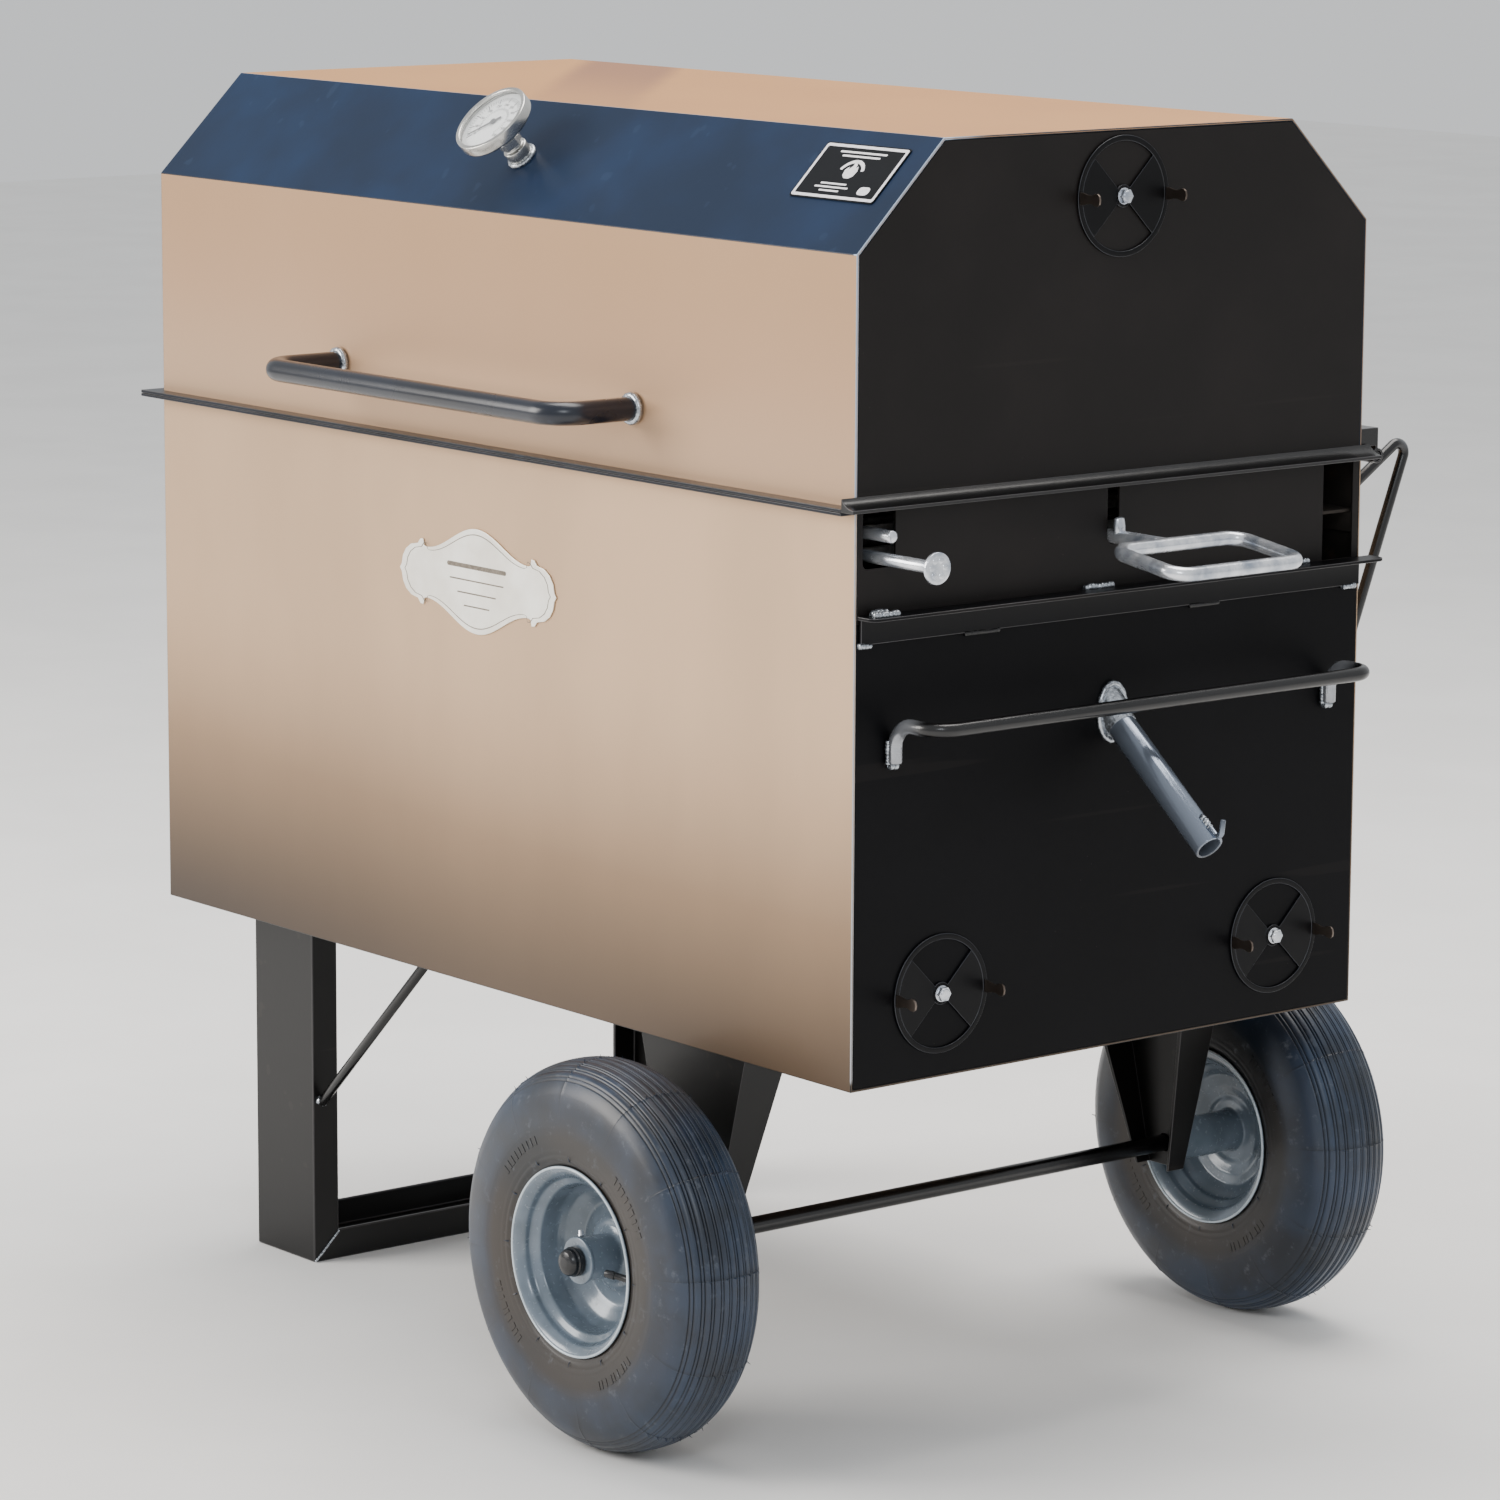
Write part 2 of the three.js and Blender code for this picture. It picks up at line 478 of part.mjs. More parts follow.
function makeLidHandle() {
  const { radius, halfSpan, reach, above, bend, collar, collarThick } = LID_HANDLE;
  const face = -halfDepth - GAP;
  const z = lidBase + above;
  const bar = rod([v3(-halfSpan, face, z), v3(-halfSpan, face - reach, z), v3(halfSpan, face - reach, z),
    v3(halfSpan, face, z)], radius, bend, 14);
  const rings = [-1, 1].map((s) => cylinder(collar, "y", [s * halfSpan, z], face - collarThick, face, 16));
  piece("lid_handle", join(bar, ...rings), SATIN);
}

// The thermometer stands on the slope: everything on its own axis in a turned group.
function makeGauge() {
  const group = new THREE.Group();
  const [y, z] = slopePoint(GAUGE.upSlope);
  group.position.set(0, y, z);
  group.rotation.x = slopeAngle;
  cooker.add(group);
  const { radius, depth, standOff, stem, probe, wall, bung, bungHeight, nut, nutHeight } = GAUGE;
  const front = standOff + depth;
  const cup = turned([[0, -probe], [stem, -probe], [stem, standOff], [radius - 5, standOff],
    [radius, standOff + 4], [radius, front], [radius - wall - 2, front], [radius - wall - 2, front - 2],
    [radius - wall, front - 2], [radius - wall, standOff + wall], [0, standOff + wall]], "z", 36);
  piece("gauge_case", cup, STAINLESS, group);
  const dialZ = front - 6;
  const ring = radius - wall - GAP;
  const pivot = 1.5;
  const dial = cut(prism(disc(ring), "z", dialZ - 1, dialZ, 18),
    prism(disc(pivot + RUNNING_GAP), "z", dialZ - 5, dialZ + 5, 8));
  piece("gauge_dial", dial, WHITE, group);
  const needle = join(prism(polygon([[-1.2, -9], [1.2, -9], [0.5, radius - 10], [-0.5, radius - 10]]), "z",
    dialZ + 0.8, dialZ + 1.6), prism(disc(3.2), "z", dialZ + 0.8, dialZ + 1.6, 8),
  prism(disc(pivot), "z", dialZ - 2.5, dialZ + 1.2, 8));
  piece("gauge_needle", needle.rotate([0, 0, GAUGE.needleRest]), RED, group);
  piece("gauge_glass", prism(disc(ring), "z", front - 3.8, front - 2.3, 18), GLASS, group);
  const hexagon = polygon([0, 1, 2, 3, 4, 5].map((i) => [nut * Math.cos((i * Math.PI) / 3),
    nut * Math.sin((i * Math.PI) / 3)]));
  const fitting = join(prism(disc(bung), "z", GAP, bungHeight, 10),
    prism(disc(bung - 3), "z", bungHeight - 1, bungHeight + 4, 10),
    prism(hexagon, "z", bungHeight + 3, bungHeight + 3 + nutHeight));
  piece("gauge_fitting", cut(fitting, prism(disc(stem + RUNNING_GAP), "z", -5, 60, 8)), STAINLESS, group);
}

function makePlates() {
  const group = new THREE.Group();
  const [y, z] = slopePoint(LABEL.upSlope);
  group.position.set(halfLength - LABEL.fromEnd, y, z);
  group.rotation.x = slopeAngle;
  cooker.add(group);
  const { width, height, thick } = LABEL;
  const label = roundedBox(-width / 2, width / 2, -height / 2, height / 2, 3);
  piece("label_plate", prism(label, "z", GAP, GAP + thick, 3), DARK, group);

  const oval = new THREE.Shape();
  oval.absellipse(BADGE.x, BODY.height - BADGE.belowTop, BADGE.width / 2, BADGE.height / 2, 0, 2 * Math.PI);
  piece("badge_plate", prism(oval, "y", -halfDepth - GAP - BADGE.thick, -halfDepth - GAP, 24), STAINLESS);
}

// ---------------------------------------------------------------- dampers
function makeDamper(name, y, z) {
  const { radius, thick, rimWidth, hubRadius, tabLength, tabWidth, boltRadius, headRadius, headThick,
    nutThick } = DAMPER;
  const face = endFace;
  const opening = (middle) => prism(
    sectorHole(y, z, middle, Math.PI / 4, hubRadius, radius - rimWidth), "x", face - 1, face + thick + 1, 6);
  const plate = cut(cylinder(radius, "x", [y, z], face, face + thick, 20), opening(Math.PI / 2),
    opening(-Math.PI / 2), cylinder(boltRadius + RUNNING_GAP, "x", [y, z], face - 1, face + thick + 1, 8));
  // Finger tabs at the two sides, bent outwards, narrow in the middle and round at the end.
  const end = face + tabLength;
  const waist = tabWidth / 2 - 1.6;
  const tab = new THREE.Shape();
  tab.moveTo(face + 0.5, z - tabWidth / 2);
  tab.lineTo(face + 6, z - tabWidth / 2);
  tab.lineTo(face + 12, z - waist);
  tab.lineTo(end - tabWidth, z - waist);
  tab.absarc(end - tabWidth / 2, z, tabWidth / 2, -0.75 * Math.PI, 0.75 * Math.PI);
  tab.lineTo(end - tabWidth, z + waist);
  tab.lineTo(face + 12, z + waist);
  tab.lineTo(face + 6, z + tabWidth / 2);
  tab.lineTo(face + 0.5, z + tabWidth / 2);
  const side = radius - 1.5 - thick;
  const tabs = [[-side - thick, -side], [side, side + thick]]
    .map(([a, b]) => prism(tab, "y", y + a, y + b, 5));
  piece("damper_disc_" + name, join(plate, ...tabs), DARK);

  const hexagon = (r) => polygon([0, 1, 2, 3, 4, 5].map((i) => [y + r * Math.cos((i * Math.PI) / 3),
    z + r * Math.sin((i * Math.PI) / 3)]));
  const inside = halfLength - SHEET - GAP;
  const bolt = join(cylinder(boltRadius, "x", [y, z], inside - nutThick - 4, face + thick + 1, 8),
    prism(hexagon(headRadius), "x", face + thick + GAP, face + thick + GAP + headThick),
    prism(hexagon(headRadius), "x", inside - nutThick, inside));
  piece("damper_bolt_" + name, bolt, ZINC);
}

// ---------------------------------------------------------------- bars, rests and hinges
function makeBars() {
  const { radius, reach, turnDown, bend } = PUSH_BAR;
  const z = ledgeTop - PUSH_BAR.belowLedge;
  const halfSpan = halfDepth - PUSH_BAR.sideInset;
  for (const [name, side] of [["right", 1], ["left", -1]]) {
    const near = side * (endFace + radius);
    const far = side * (endFace + reach);
    const bar = rod([v3(near, -halfSpan, z - turnDown), v3(near, -halfSpan, z), v3(far, -halfSpan, z),
      v3(far, halfSpan, z), v3(near, halfSpan, z), v3(near, halfSpan, z - turnDown)], radius, bend);
    piece("push_bar_" + name, bar, SATIN);

    // The V-shaped rest that the open lid lies on, welded to the rear wall.
    const apexZ = hinge.z + HINGE.axisOut - REST.clearance - REST.radius;
    const x = side * (halfLength - REST.fromEnd);
    const buried = 10; // cut off again at the wall
    const root = halfDepth - buried;
    const apexY = halfDepth + REST.apexOut;
    const [topZ, bottomZ] = [BODY.height - REST.topBelow, BODY.height - REST.bottomBelow];
    const slope = (apexZ - topZ) / REST.apexOut;
    const fall = (apexZ - bottomZ) / REST.apexOut;
    const rest = rod([v3(x, root, topZ - buried * slope), v3(x, apexY, apexZ),
      v3(x, root, bottomZ - buried * fall)], REST.radius, REST.bend, 10);
    const behindWall = box(-BODY.length, BODY.length, 0, halfDepth + GAP, 0, BODY.height * 2);
    piece("lid_rest_" + name, rest.subtract(behindWall), SATIN);
    makeHinge(name, side);
  }
}

// A weld-on barrel hinge: the body half carries the pin, the lid half turns on it.
function makeHinge(name, side) {
  const { knuckle, pin, width, strap, leaf, fromEnd } = HINGE;
  const outer = halfLength - fromEnd;
  const at = [hinge.y, hinge.z];
  const span = (a, b) => [Math.min(side * a, side * b), Math.max(side * a, side * b)];
  const lidSpan = span(outer - width, outer);
  const bodySpan = span(outer - 2 * width - GAP, outer - width - GAP);
  const wall = halfDepth + GAP;
  const strapY = [hinge.y - strap, hinge.y];
  const under = BODY.height - FLANGE.thick - GAP;
  const body = join(cylinder(knuckle, "x", at, ...bodySpan, 16),
    box(...bodySpan, ...strapY, hinge.z - leaf, hinge.z),
    box(...bodySpan, wall, hinge.y, hinge.z - leaf, under - 8),
    cylinder(pin, "x", at, ...span(outer - 1.5 * width, outer - 1), 12));
  piece("hinge_body_" + name, body, SATIN);
  const above = lidBase + FLANGE.thick + GAP + 6;
  const lid = cut(join(cylinder(knuckle, "x", at, ...lidSpan, 16),
    box(...lidSpan, ...strapY, hinge.z, hinge.z + leaf),
    box(...lidSpan, wall, hinge.y, above, hinge.z + leaf)),
  cylinder(pin + RUNNING_GAP, "x", at, ...span(outer - width - 5, outer + 5), 12));
  piece("hinge_lid_" + name, lid, SATIN);
}

// ---------------------------------------------------------------- leg frame
function makeLegs() {
  const { web, flange, thick } = LEG;
  const x = -halfLength + LEG.fromLeft;
  const y = halfDepth - LEG.sideInset;
  const [x0, x1] = [x - web / 2, x + web / 2];
  const ground = -GROUND_CLEARANCE;
  // The region on the upper side of both mitres, between the legs and the foot.
  const wedge = (shift) => prism(polygon([[-y - 1, ground - 1 + shift],
    [-y + 2 * flange, ground + 2 * flange + shift], [y - 2 * flange, ground + 2 * flange + shift],
    [y + 1, ground - 1 + shift], [y + 1, 50], [-y - 1, 50]]), "x", x0 - 5, x1 + 5);
  for (const [name, side] of [["front", -1], ["rear", 1]]) {
    const span = (a, b) => [Math.min(side * a, side * b), Math.max(side * a, side * b)];
    const channel = cut(box(x0, x1, ...span(y - flange, y), ground, -GAP),
      box(x0 + thick, x1 - thick, ...span(y - flange - 5, y - thick), ground - 5, 5));
    piece("leg_" + name, channel.intersect(wedge(GAP)), SATIN);

    const top = x1 + BRACE.radius + GAP;
    const braceY = side * (y - BRACE.inset);
    const brace = rod([v3(top, braceY, -BRACE.below), v3(top + BRACE.run, braceY, 0)], BRACE.radius, 0, 10);
    const bodyBottom = box(0, BODY.length, -BODY.depth, BODY.depth, -GAP, 50).translate([-halfLength, 0, 0]);
    const legFace = box(x0, x1 + GAP, -BODY.depth, BODY.depth, ground, 0);
    piece("leg_brace_" + name, cut(brace, bodyBottom, legFace), SATIN);
  }
  const foot = cut(box(x0, x1, -y, y, ground, ground + flange),
    box(x0 + thick, x1 - thick, -y - 5, y + 5, ground + thick, ground + flange + 5));
  piece("foot_channel", foot.subtract(wedge(-GAP)), SATIN);
}

// ---------------------------------------------------------------- wheels
// A tapering channel, web outboard and flanges inboard, with a hole for the axle.
function bracket(side) {
  const { thick, topWidth, bottomWidth, topDepth, bottomDepth, belowAxle } = BRACKET;
  const y = bracketY;
  const bottom = axleZ - belowAxle;
  const tapered = (inset, past) => {
    const g = new THREE.BoxGeometry(1, 1, 1);
    const p = g.attributes.position;
    for (let i = 0; i < p.count; i++) {
      const high = p.getZ(i) > 0;
      const width = (high ? topWidth : bottomWidth) - 2 * inset;
      const depth = high ? topDepth : bottomDepth;
      const inboard = p.getY(i) > 0;
      p.setXYZ(i, axleX + p.getX(i) * width, inboard ? -y + depth + past : -y + inset,
        high ? -GAP + past : bottom - past);
    }
    return solid(g);
  };
  const made = cut(tapered(0, 0), tapered(thick, 5),
    cylinder(AXLE.radius + RUNNING_GAP, "y", [axleX, axleZ], -y - 5, -y + topDepth + 30, 16));
  return side < 0 ? made : made.mirror([0, 1, 0]);
}

function makeWheels() {
  const { radius, width, wall, rimRadius, beadRadius, rimHalfWidth, hubRadius, hubOut, washer } = WHEEL;
  const y = wheelY;
  const w = width / 2;
  const axleEnd = y + hubOut + CAP.length - CAP.wall - 3;
  piece("axle", cylinder(AXLE.radius, "y", [axleX, axleZ], -axleEnd, axleEnd, 20), DARK);
  const hubIn = WHEEL.fromBracket - washer; // the hub runs inboard to the bracket
  const bore = AXLE.radius + RUNNING_GAP;
  const seat = beadRadius + 2 + GAP;
  for (const [name, side] of [["front", -1], ["rear", 1]]) {
    piece("axle_bracket_" + name, bracket(side), SATIN);
    const place = (s) => (side < 0 ? s.mirror([0, 1, 0]) : s).translate([axleX, side * y, axleZ]);
    // Rim: hub tube, dished disc and drop-centre barrel; the list runs round the wall's two faces.
    const well = beadRadius - 6;
    const lipIn = rimHalfWidth - 5;
    const rim = turned([[bore, -hubIn], [hubRadius, -hubIn], [hubRadius, -5], [40, -5], [well - 3, -14],
      [well - 3, -25], [beadRadius - 3, -31], [beadRadius - 3, -lipIn], [rimRadius, -rimHalfWidth],
      [beadRadius, -lipIn], [beadRadius, -30], [well, -22], [well, 22], [beadRadius, 30],
      [beadRadius, lipIn], [rimRadius, rimHalfWidth], [beadRadius - 3, lipIn], [beadRadius - 3, 31],
      [well - 3, 25], [well - 3, -8], [40, -1], [hubRadius, -1], [hubRadius, hubOut], [bore, hubOut],
      [bore, -hubIn]], "y");
    piece("rim_" + name, place(rim), RIM_PAINT);
    const outerSide = [[seat, w - 12], [rimRadius + 3, w - 3], [(rimRadius + radius) / 2, w],
      [radius - 12, w - 12], [radius, w - 30]];
    const innerSide = [[seat, w - 12 - wall], [rimRadius + 3, w - 3 - wall],
      [(rimRadius + radius) / 2, w - wall], [radius - 12 - wall, w - 12 - wall]];
    const flip = (list) => list.map(([r, h]) => [r, -h]);
    const section = [...outerSide, ...flip(outerSide).reverse(), ...flip(innerSide),
      ...[...innerSide].reverse(), outerSide[0]];
    piece("tyre_" + name, place(turned(section, "y")), RUBBER);
    const start = hubOut + GAP;
    const cap = turned([[0, start + CAP.length], [CAP.radius * 0.6, start + CAP.length - 1],
      [CAP.radius, start + CAP.length - 6], [CAP.radius, start], [AXLE.radius + GAP, start],
      [AXLE.radius + GAP, start + CAP.length - CAP.wall], [0, start + CAP.length - CAP.wall]], "y", 20);
    piece("axle_cap_" + name, place(cap), DARK);
  }
}

makeBody();
makeDrain();
makeGrates();
makeLid();
makeLidHandle();
makeGauge();
makePlates();
makeDamper("front", -damperY, DAMPER.z);
makeDamper("rear", damperY, DAMPER.z);
makeDamper("lid", 0, lidTop - DAMPER.lidDrop);
makeBars();
makeLegs();
makeWheels();

export default cooker;
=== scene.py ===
"""Looks of a wheeled charcoal barbecue cooker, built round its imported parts.

Shapes are worked out in body millimetres (origin at the middle of the body's floor, front towards -Y) and
put into the meshes in metres. Each is a function of two parameters on a grid, or a profile along a path.
"""
import json
import math

import bmesh
import bpy
import numpy as np
from mathutils import Matrix, Vector

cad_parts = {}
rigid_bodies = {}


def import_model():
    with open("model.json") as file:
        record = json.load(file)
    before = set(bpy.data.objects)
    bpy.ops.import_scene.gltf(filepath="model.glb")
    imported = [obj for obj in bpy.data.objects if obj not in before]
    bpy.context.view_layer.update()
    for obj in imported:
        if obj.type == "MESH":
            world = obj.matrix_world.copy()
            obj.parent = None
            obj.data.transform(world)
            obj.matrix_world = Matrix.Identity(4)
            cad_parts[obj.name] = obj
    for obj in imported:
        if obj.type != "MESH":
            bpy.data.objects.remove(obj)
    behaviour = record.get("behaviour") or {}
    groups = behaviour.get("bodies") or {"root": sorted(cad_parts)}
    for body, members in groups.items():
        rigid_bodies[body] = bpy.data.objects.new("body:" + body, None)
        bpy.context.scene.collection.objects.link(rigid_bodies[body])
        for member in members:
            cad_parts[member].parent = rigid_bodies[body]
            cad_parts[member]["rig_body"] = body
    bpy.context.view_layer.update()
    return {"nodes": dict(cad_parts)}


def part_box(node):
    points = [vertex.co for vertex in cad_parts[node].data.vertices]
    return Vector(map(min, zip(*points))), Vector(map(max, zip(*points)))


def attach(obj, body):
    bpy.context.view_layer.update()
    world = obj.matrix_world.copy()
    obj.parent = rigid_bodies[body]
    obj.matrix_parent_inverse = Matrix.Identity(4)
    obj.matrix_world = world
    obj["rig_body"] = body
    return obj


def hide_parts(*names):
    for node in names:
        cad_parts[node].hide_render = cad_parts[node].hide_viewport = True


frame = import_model()

# ---- sizes, in body millimetres
body_low, body_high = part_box("body_wrapper")
ORIGIN = np.array([(body_low.x + body_high.x) / 2, (body_low.y + body_high.y) / 2, body_low.z])
LENGTH, DEPTH, HEIGHT = (np.array(body_high) - np.array(body_low)) * 1000
END = LENGTH / 2  # outside of the right end plate
FRONT = -DEPTH / 2
GAP = 0.3  # between pieces that touch
SHEET = 2.5
ABOVE_GROUND = 355  # the body's floor
LID_WALL, SLOPE_RUN, SLOPE_RISE = 217.0, 95.0, 94.0
LID_BASE = HEIGHT + GAP
LID_TOP = LID_BASE + LID_WALL + SLOPE_RISE
SLOPE = math.atan2(SLOPE_RISE, SLOPE_RUN)
LEDGE_TOP = HEIGHT - 90
WHEEL_X, WHEEL_Y, WHEEL_RADIUS = 302.0, 381.0, 176.5
AXLE_Z = WHEEL_RADIUS - ABOVE_GROUND
TYRE_HALF_WIDTH, BEAD = 49.0, 79.0
X, Y, Z = np.eye(3)


def mm(points):
    """Body millimetres to the frame's metres."""
    return np.asarray(points, float) / 1000 + ORIGIN


# ---- camera, floor and light
def aim(azimuth, elevation, roll):
    """The camera's axes from its angles: back is away from the view, across and up are turned by roll."""
    a, e, r = (math.radians(v) for v in (azimuth, elevation, roll))
    back = np.array([math.sin(a) * math.cos(e), -math.cos(a) * math.cos(e), math.sin(e)])
    across = np.cross(Z, back)
    across /= np.linalg.norm(across)
    up = np.cross(back, across)
    turned_across = math.cos(r) * across + math.sin(r) * up
    return np.array([turned_across, math.cos(r) * up - math.sin(r) * across, back]).T


def place(thing, where, axes):
    turned = Matrix(np.asarray(axes).tolist()).to_4x4()
    turned.translation = Vector(where)
    thing.matrix_world = turned


camera = bpy.data.objects.new("camera", bpy.data.cameras.new("camera"))
camera.data.sensor_width = 36
camera.data.lens = 139.23
camera.data.clip_end = 60  # metres
bpy.context.scene.collection.objects.link(camera)
bpy.context.scene.camera = camera
place(camera, (4.2246, -3.4109, 1.5287), aim(51.24, 10.19, 0.28))


def lamp(name, where, towards, size, power, colour):
    """A soft square light of that size at one point, facing another."""
    light = bpy.data.lights.new(name, "AREA")
    light.shape, light.size, light.energy, light.color = "SQUARE", size, power, colour
    made = bpy.data.objects.new(name, light)
    bpy.context.scene.collection.objects.link(made)
    back = Vector(where) - Vector(towards)
    made.matrix_world = Matrix.Translation(where) @ back.to_track_quat("Z", "Y").to_matrix().to_4x4()


MIDDLE = (0.0, 0.0, 0.7)
lamp("front_softbox", (-2.6, -4.0, 2.4), MIDDLE, 2.6, 230, (1.0, 0.96, 0.91))
lamp("right_softbox", (4.4, -3.4, 3.6), MIDDLE, 1.4, 55, (0.90, 0.95, 1.0))
lamp("top_softbox", (-0.2, 0.9, 4.4), MIDDLE, 3.0, 200, (1.0, 0.96, 0.92))

world = bpy.data.worlds.new("studio")
bpy.context.scene.world = world
world.use_nodes = True
world.node_tree.nodes["Background"].inputs["Color"].default_value = (0.96, 0.98, 1.0, 1)
world.node_tree.nodes["Background"].inputs["Strength"].default_value = 0.8


# ---- shader arithmetic
class Wire:
    """One shader socket; arithmetic on it adds Math nodes."""

    def __init__(self, finish, socket):
        self.finish, self.socket = finish, socket

    def _with(self, operation, first, second):
        return self.finish.node("Math", {"operation": operation}, {0: first, 1: second})

    def __add__(self, other):
        return self._with("ADD", self, other)

    def __sub__(self, other):
        return self._with("SUBTRACT", self, other)

    def __rsub__(self, other):
        return self._with("SUBTRACT", other, self)

    def __mul__(self, other):
        return self._with("MULTIPLY", self, other)

    __radd__, __rmul__ = __add__, __mul__


def linear(text):
    """A six-digit colour as linear red, green, blue and alpha."""
    parts = [int(text[i:i + 2], 16) / 255 for i in (0, 2, 4)]
    return (*[p / 12.92 if p <= 0.04045 else ((p + 0.055) / 1.055) ** 2.4 for p in parts], 1.0)


class Finish:
    """A material under construction, with one Principled shader."""

    def __init__(self, name, roughness=0.5, metallic=0.0, **fixed):
        self.material = bpy.data.materials.new(name)
        self.material.use_nodes = True
        self.tree = self.material.node_tree
        self.shader = self.tree.nodes["Principled BSDF"]
        self.places = self.node("TexCoord", {}, {}, "Object")
        self.set(Roughness=roughness, Metallic=metallic, **fixed)

    def node(self, kind, settings, values, output=0):
        """Adds a node: its settings first, then the values or wires of its sockets."""
        made = self.tree.nodes.new("ShaderNode" + kind)
        for name, value in settings.items():
            if name == "stops":
                while len(made.color_ramp.elements) < len(value):
                    made.color_ramp.elements.new(0.5)
                for element, (at, colour) in zip(made.color_ramp.elements, value):
                    element.position, element.color = at, linear(colour)
            else:
                setattr(made, name, value)
        for key, value in values.items():
            if isinstance(value, Wire):
                self.tree.links.new(value.socket, made.inputs[key])
            else:
                made.inputs[key].default_value = value
        return Wire(self, made.outputs[output])

    def set(self, **values):
        """Gives the shader's sockets their values or wires; an underscore in a name stands for a space."""
        for key, value in values.items():
            socket = self.shader.inputs[key.replace("_", " ")]
            if isinstance(value, Wire):
                self.tree.links.new(value.socket, socket)
            else:
                socket.default_value = value
        return self

    def noise(self, scale, detail=3.0, stretch=(1, 1, 1), rough=0.55):
        """Fractal noise from 0 to 1 with that many lumps a metre, longer where stretch is below 1."""
        where = self.node("Mapping", {}, {"Vector": self.places, "Scale": stretch})
        return self.node("TexNoise", {}, {"Vector": where, "Scale": scale, "Detail": detail,
                                          "Roughness": rough})

    def cells(self, scale, stretch=(1, 1, 1)):
        where = self.node("Mapping", {}, {"Vector": self.places, "Scale": stretch})
        return self.node("TexVoronoi", {}, {"Vector": where, "Scale": scale}, "Distance")

    def axis(self, name):
        return self.node("SeparateXYZ", {}, {"Vector": self.places}, name)

    def fade(self, value, low, high, start=0.0, stop=1.0):
        """A smooth step of value from low to high."""
        return self.node("MapRange", {"interpolation_type": "SMOOTHSTEP"},
                         {"Value": value, "From Min": low, "From Max": high, "To Min": start, "To Max": stop})

    def mix(self, share, first, second):
        """Two colours, as text or wires, mixed by a share."""
        first, second = (linear(c) if isinstance(c, str) else c for c in (first, second))
        return self.node("Mix", {"data_type": "RGBA"}, {0: share, 6: first, 7: second}, 2)

    def ramp(self, value, *stops):
        return self.node("ValToRGB", {"stops": stops}, {"Fac": value})

    def wear(self):
        """The piece's own wear, from 0 to 1, where it has been given one."""
        return self.node("Attribute", {"attribute_name": "wear"}, {}, "Fac")

    def bump(self, height, depth, strength=1.0):
        self.set(Normal=self.node("Bump", {}, {"Height": height, "Distance": depth, "Strength": strength}))
        return self


def height_above_floor(finish):
    return finish.axis("Z") - float(ORIGIN[2])


# ---- finishes
def painted_reflection_panel(name, low, middle, high, bottom, top, sheen, stain_and_painted_reflection=None):
    """Satin metallic paint whose colour is a painted reflection of the surroundings: its tone falls from high
    to low over a wall and drifts a little along the length, with a fine orange-peel skin. The optional last
    argument is a soft painted reflection band: a point on it in body millimetres, its cross direction, half
    width and colour."""
    f = Finish(name, metallic=0.4, Coat_Weight=sheen, Coat_Roughness=0.18)
    rise = f.fade(height_above_floor(f), bottom, top)
    along = f.fade(f.axis("X"), -0.62, 0.1)
    tone = f.ramp(rise * 0.9 + along * 0.1, (0.0, low), (0.5, middle), (1.0, high))
    cloud = f.noise(5, 3, (1, 1, 0.4))
    grain = f.noise(1400, 2)
    tone = f.mix(f.fade(cloud, 0.35, 0.75, 0.0, 0.12), tone, low)
    # The band is a painted reflection, stronger towards the rear.
    if stain_and_painted_reflection:
        where, (cross_x, cross_y), half_width, colour = stain_and_painted_reflection
        x0, y0, _ = mm(where)
        off = (f.axis("X") - float(x0)) * cross_x + (f.axis("Y") - float(y0)) * cross_y
        off = off + cloud * 0.02 - 0.01
        width = half_width / 1000
        share = f.fade(off * off, width * width * 1.7, width * width * 0.5, 0.0, 0.62)
        tone = f.mix(share * f.fade(f.axis("Y"), -0.22, 0.15, 0.35, 1.0), tone, colour)
    f.set(Base_Color=tone, Roughness=0.40 + cloud * 0.08 + grain * 0.06)
    return f.bump(grain + f.noise(260, 2) * 1.5, 0.00005, 0.35).material


def black_satin(name, dark, light, rough, warm="3a332e", gleam=0.3, bare="b9bcc2"):
    """Satin black paint: orange peel, faint clouding, a few dust specks and hairline scratches."""
    f = Finish(name, metallic=0.0, Specular_IOR_Level=gleam)
    cloud = f.noise(7, 4)
    dust = f.fade(f.cells(95), 0.0, 0.045, 1.0, 0.0)
    scratch = f.fade(f.noise(60, 1, (1, 0.03, 0.9)), 0.71, 0.74)
    tone = f.mix(f.fade(cloud, 0.35, 0.8), dark, light)
    tone = f.mix(dust * f.fade(f.noise(11), 0.5, 0.7) * 0.35, tone, "8c857c")
    tone = f.mix(scratch * 0.16, tone, warm)
    worn = f.wear()
    tone = f.mix(worn, tone, bare)
    grain = f.noise(1200, 2)
    f.set(Base_Color=tone, Metallic=worn * 0.97, Roughness=rough + cloud * 0.10 - worn * 0.12)
    return f.bump(grain + f.noise(230, 2) * 1.6, 0.00006, 0.4).material


def bright_metal(name, dull, bright, rough, lumps, stretch=(1, 1, 1), spangle=0.5, metal=0.75, pits=0.00005):
    """Plated or bare metal: mottled tone, streaks and small pits."""
    f = Finish(name, metallic=metal)
    patches = f.cells(lumps, stretch)
    streaks = f.noise(lumps * 2, 3, stretch)
    stain_and_painted_reflection = f.fade(f.noise(38, 4), 0.55, 0.75)
    tone = f.mix(f.fade(patches * spangle + streaks * (1 - spangle), 0.15, 0.75), dull, bright)
    tone = f.mix(stain_and_painted_reflection * 0.25, tone, "77736e")
    f.set(Base_Color=tone, Roughness=rough + streaks * 0.18)
    return f.bump(streaks + patches * 0.4, pits, 0.5).material


def brushed_metal(name, dull, bright, rough):
    """Sheet or turned metal with a fine brushed grain."""
    f = Finish(name, metallic=0.95)
    brush = f.noise(900, 3, (0.05, 1, 1))
    tone = f.mix(f.fade(f.noise(20, 3), 0.3, 0.7), dull, bright)
    f.set(Base_Color=tone, Roughness=rough + brush * 0.16)
    return f.bump(brush, 0.00003, 0.4).material


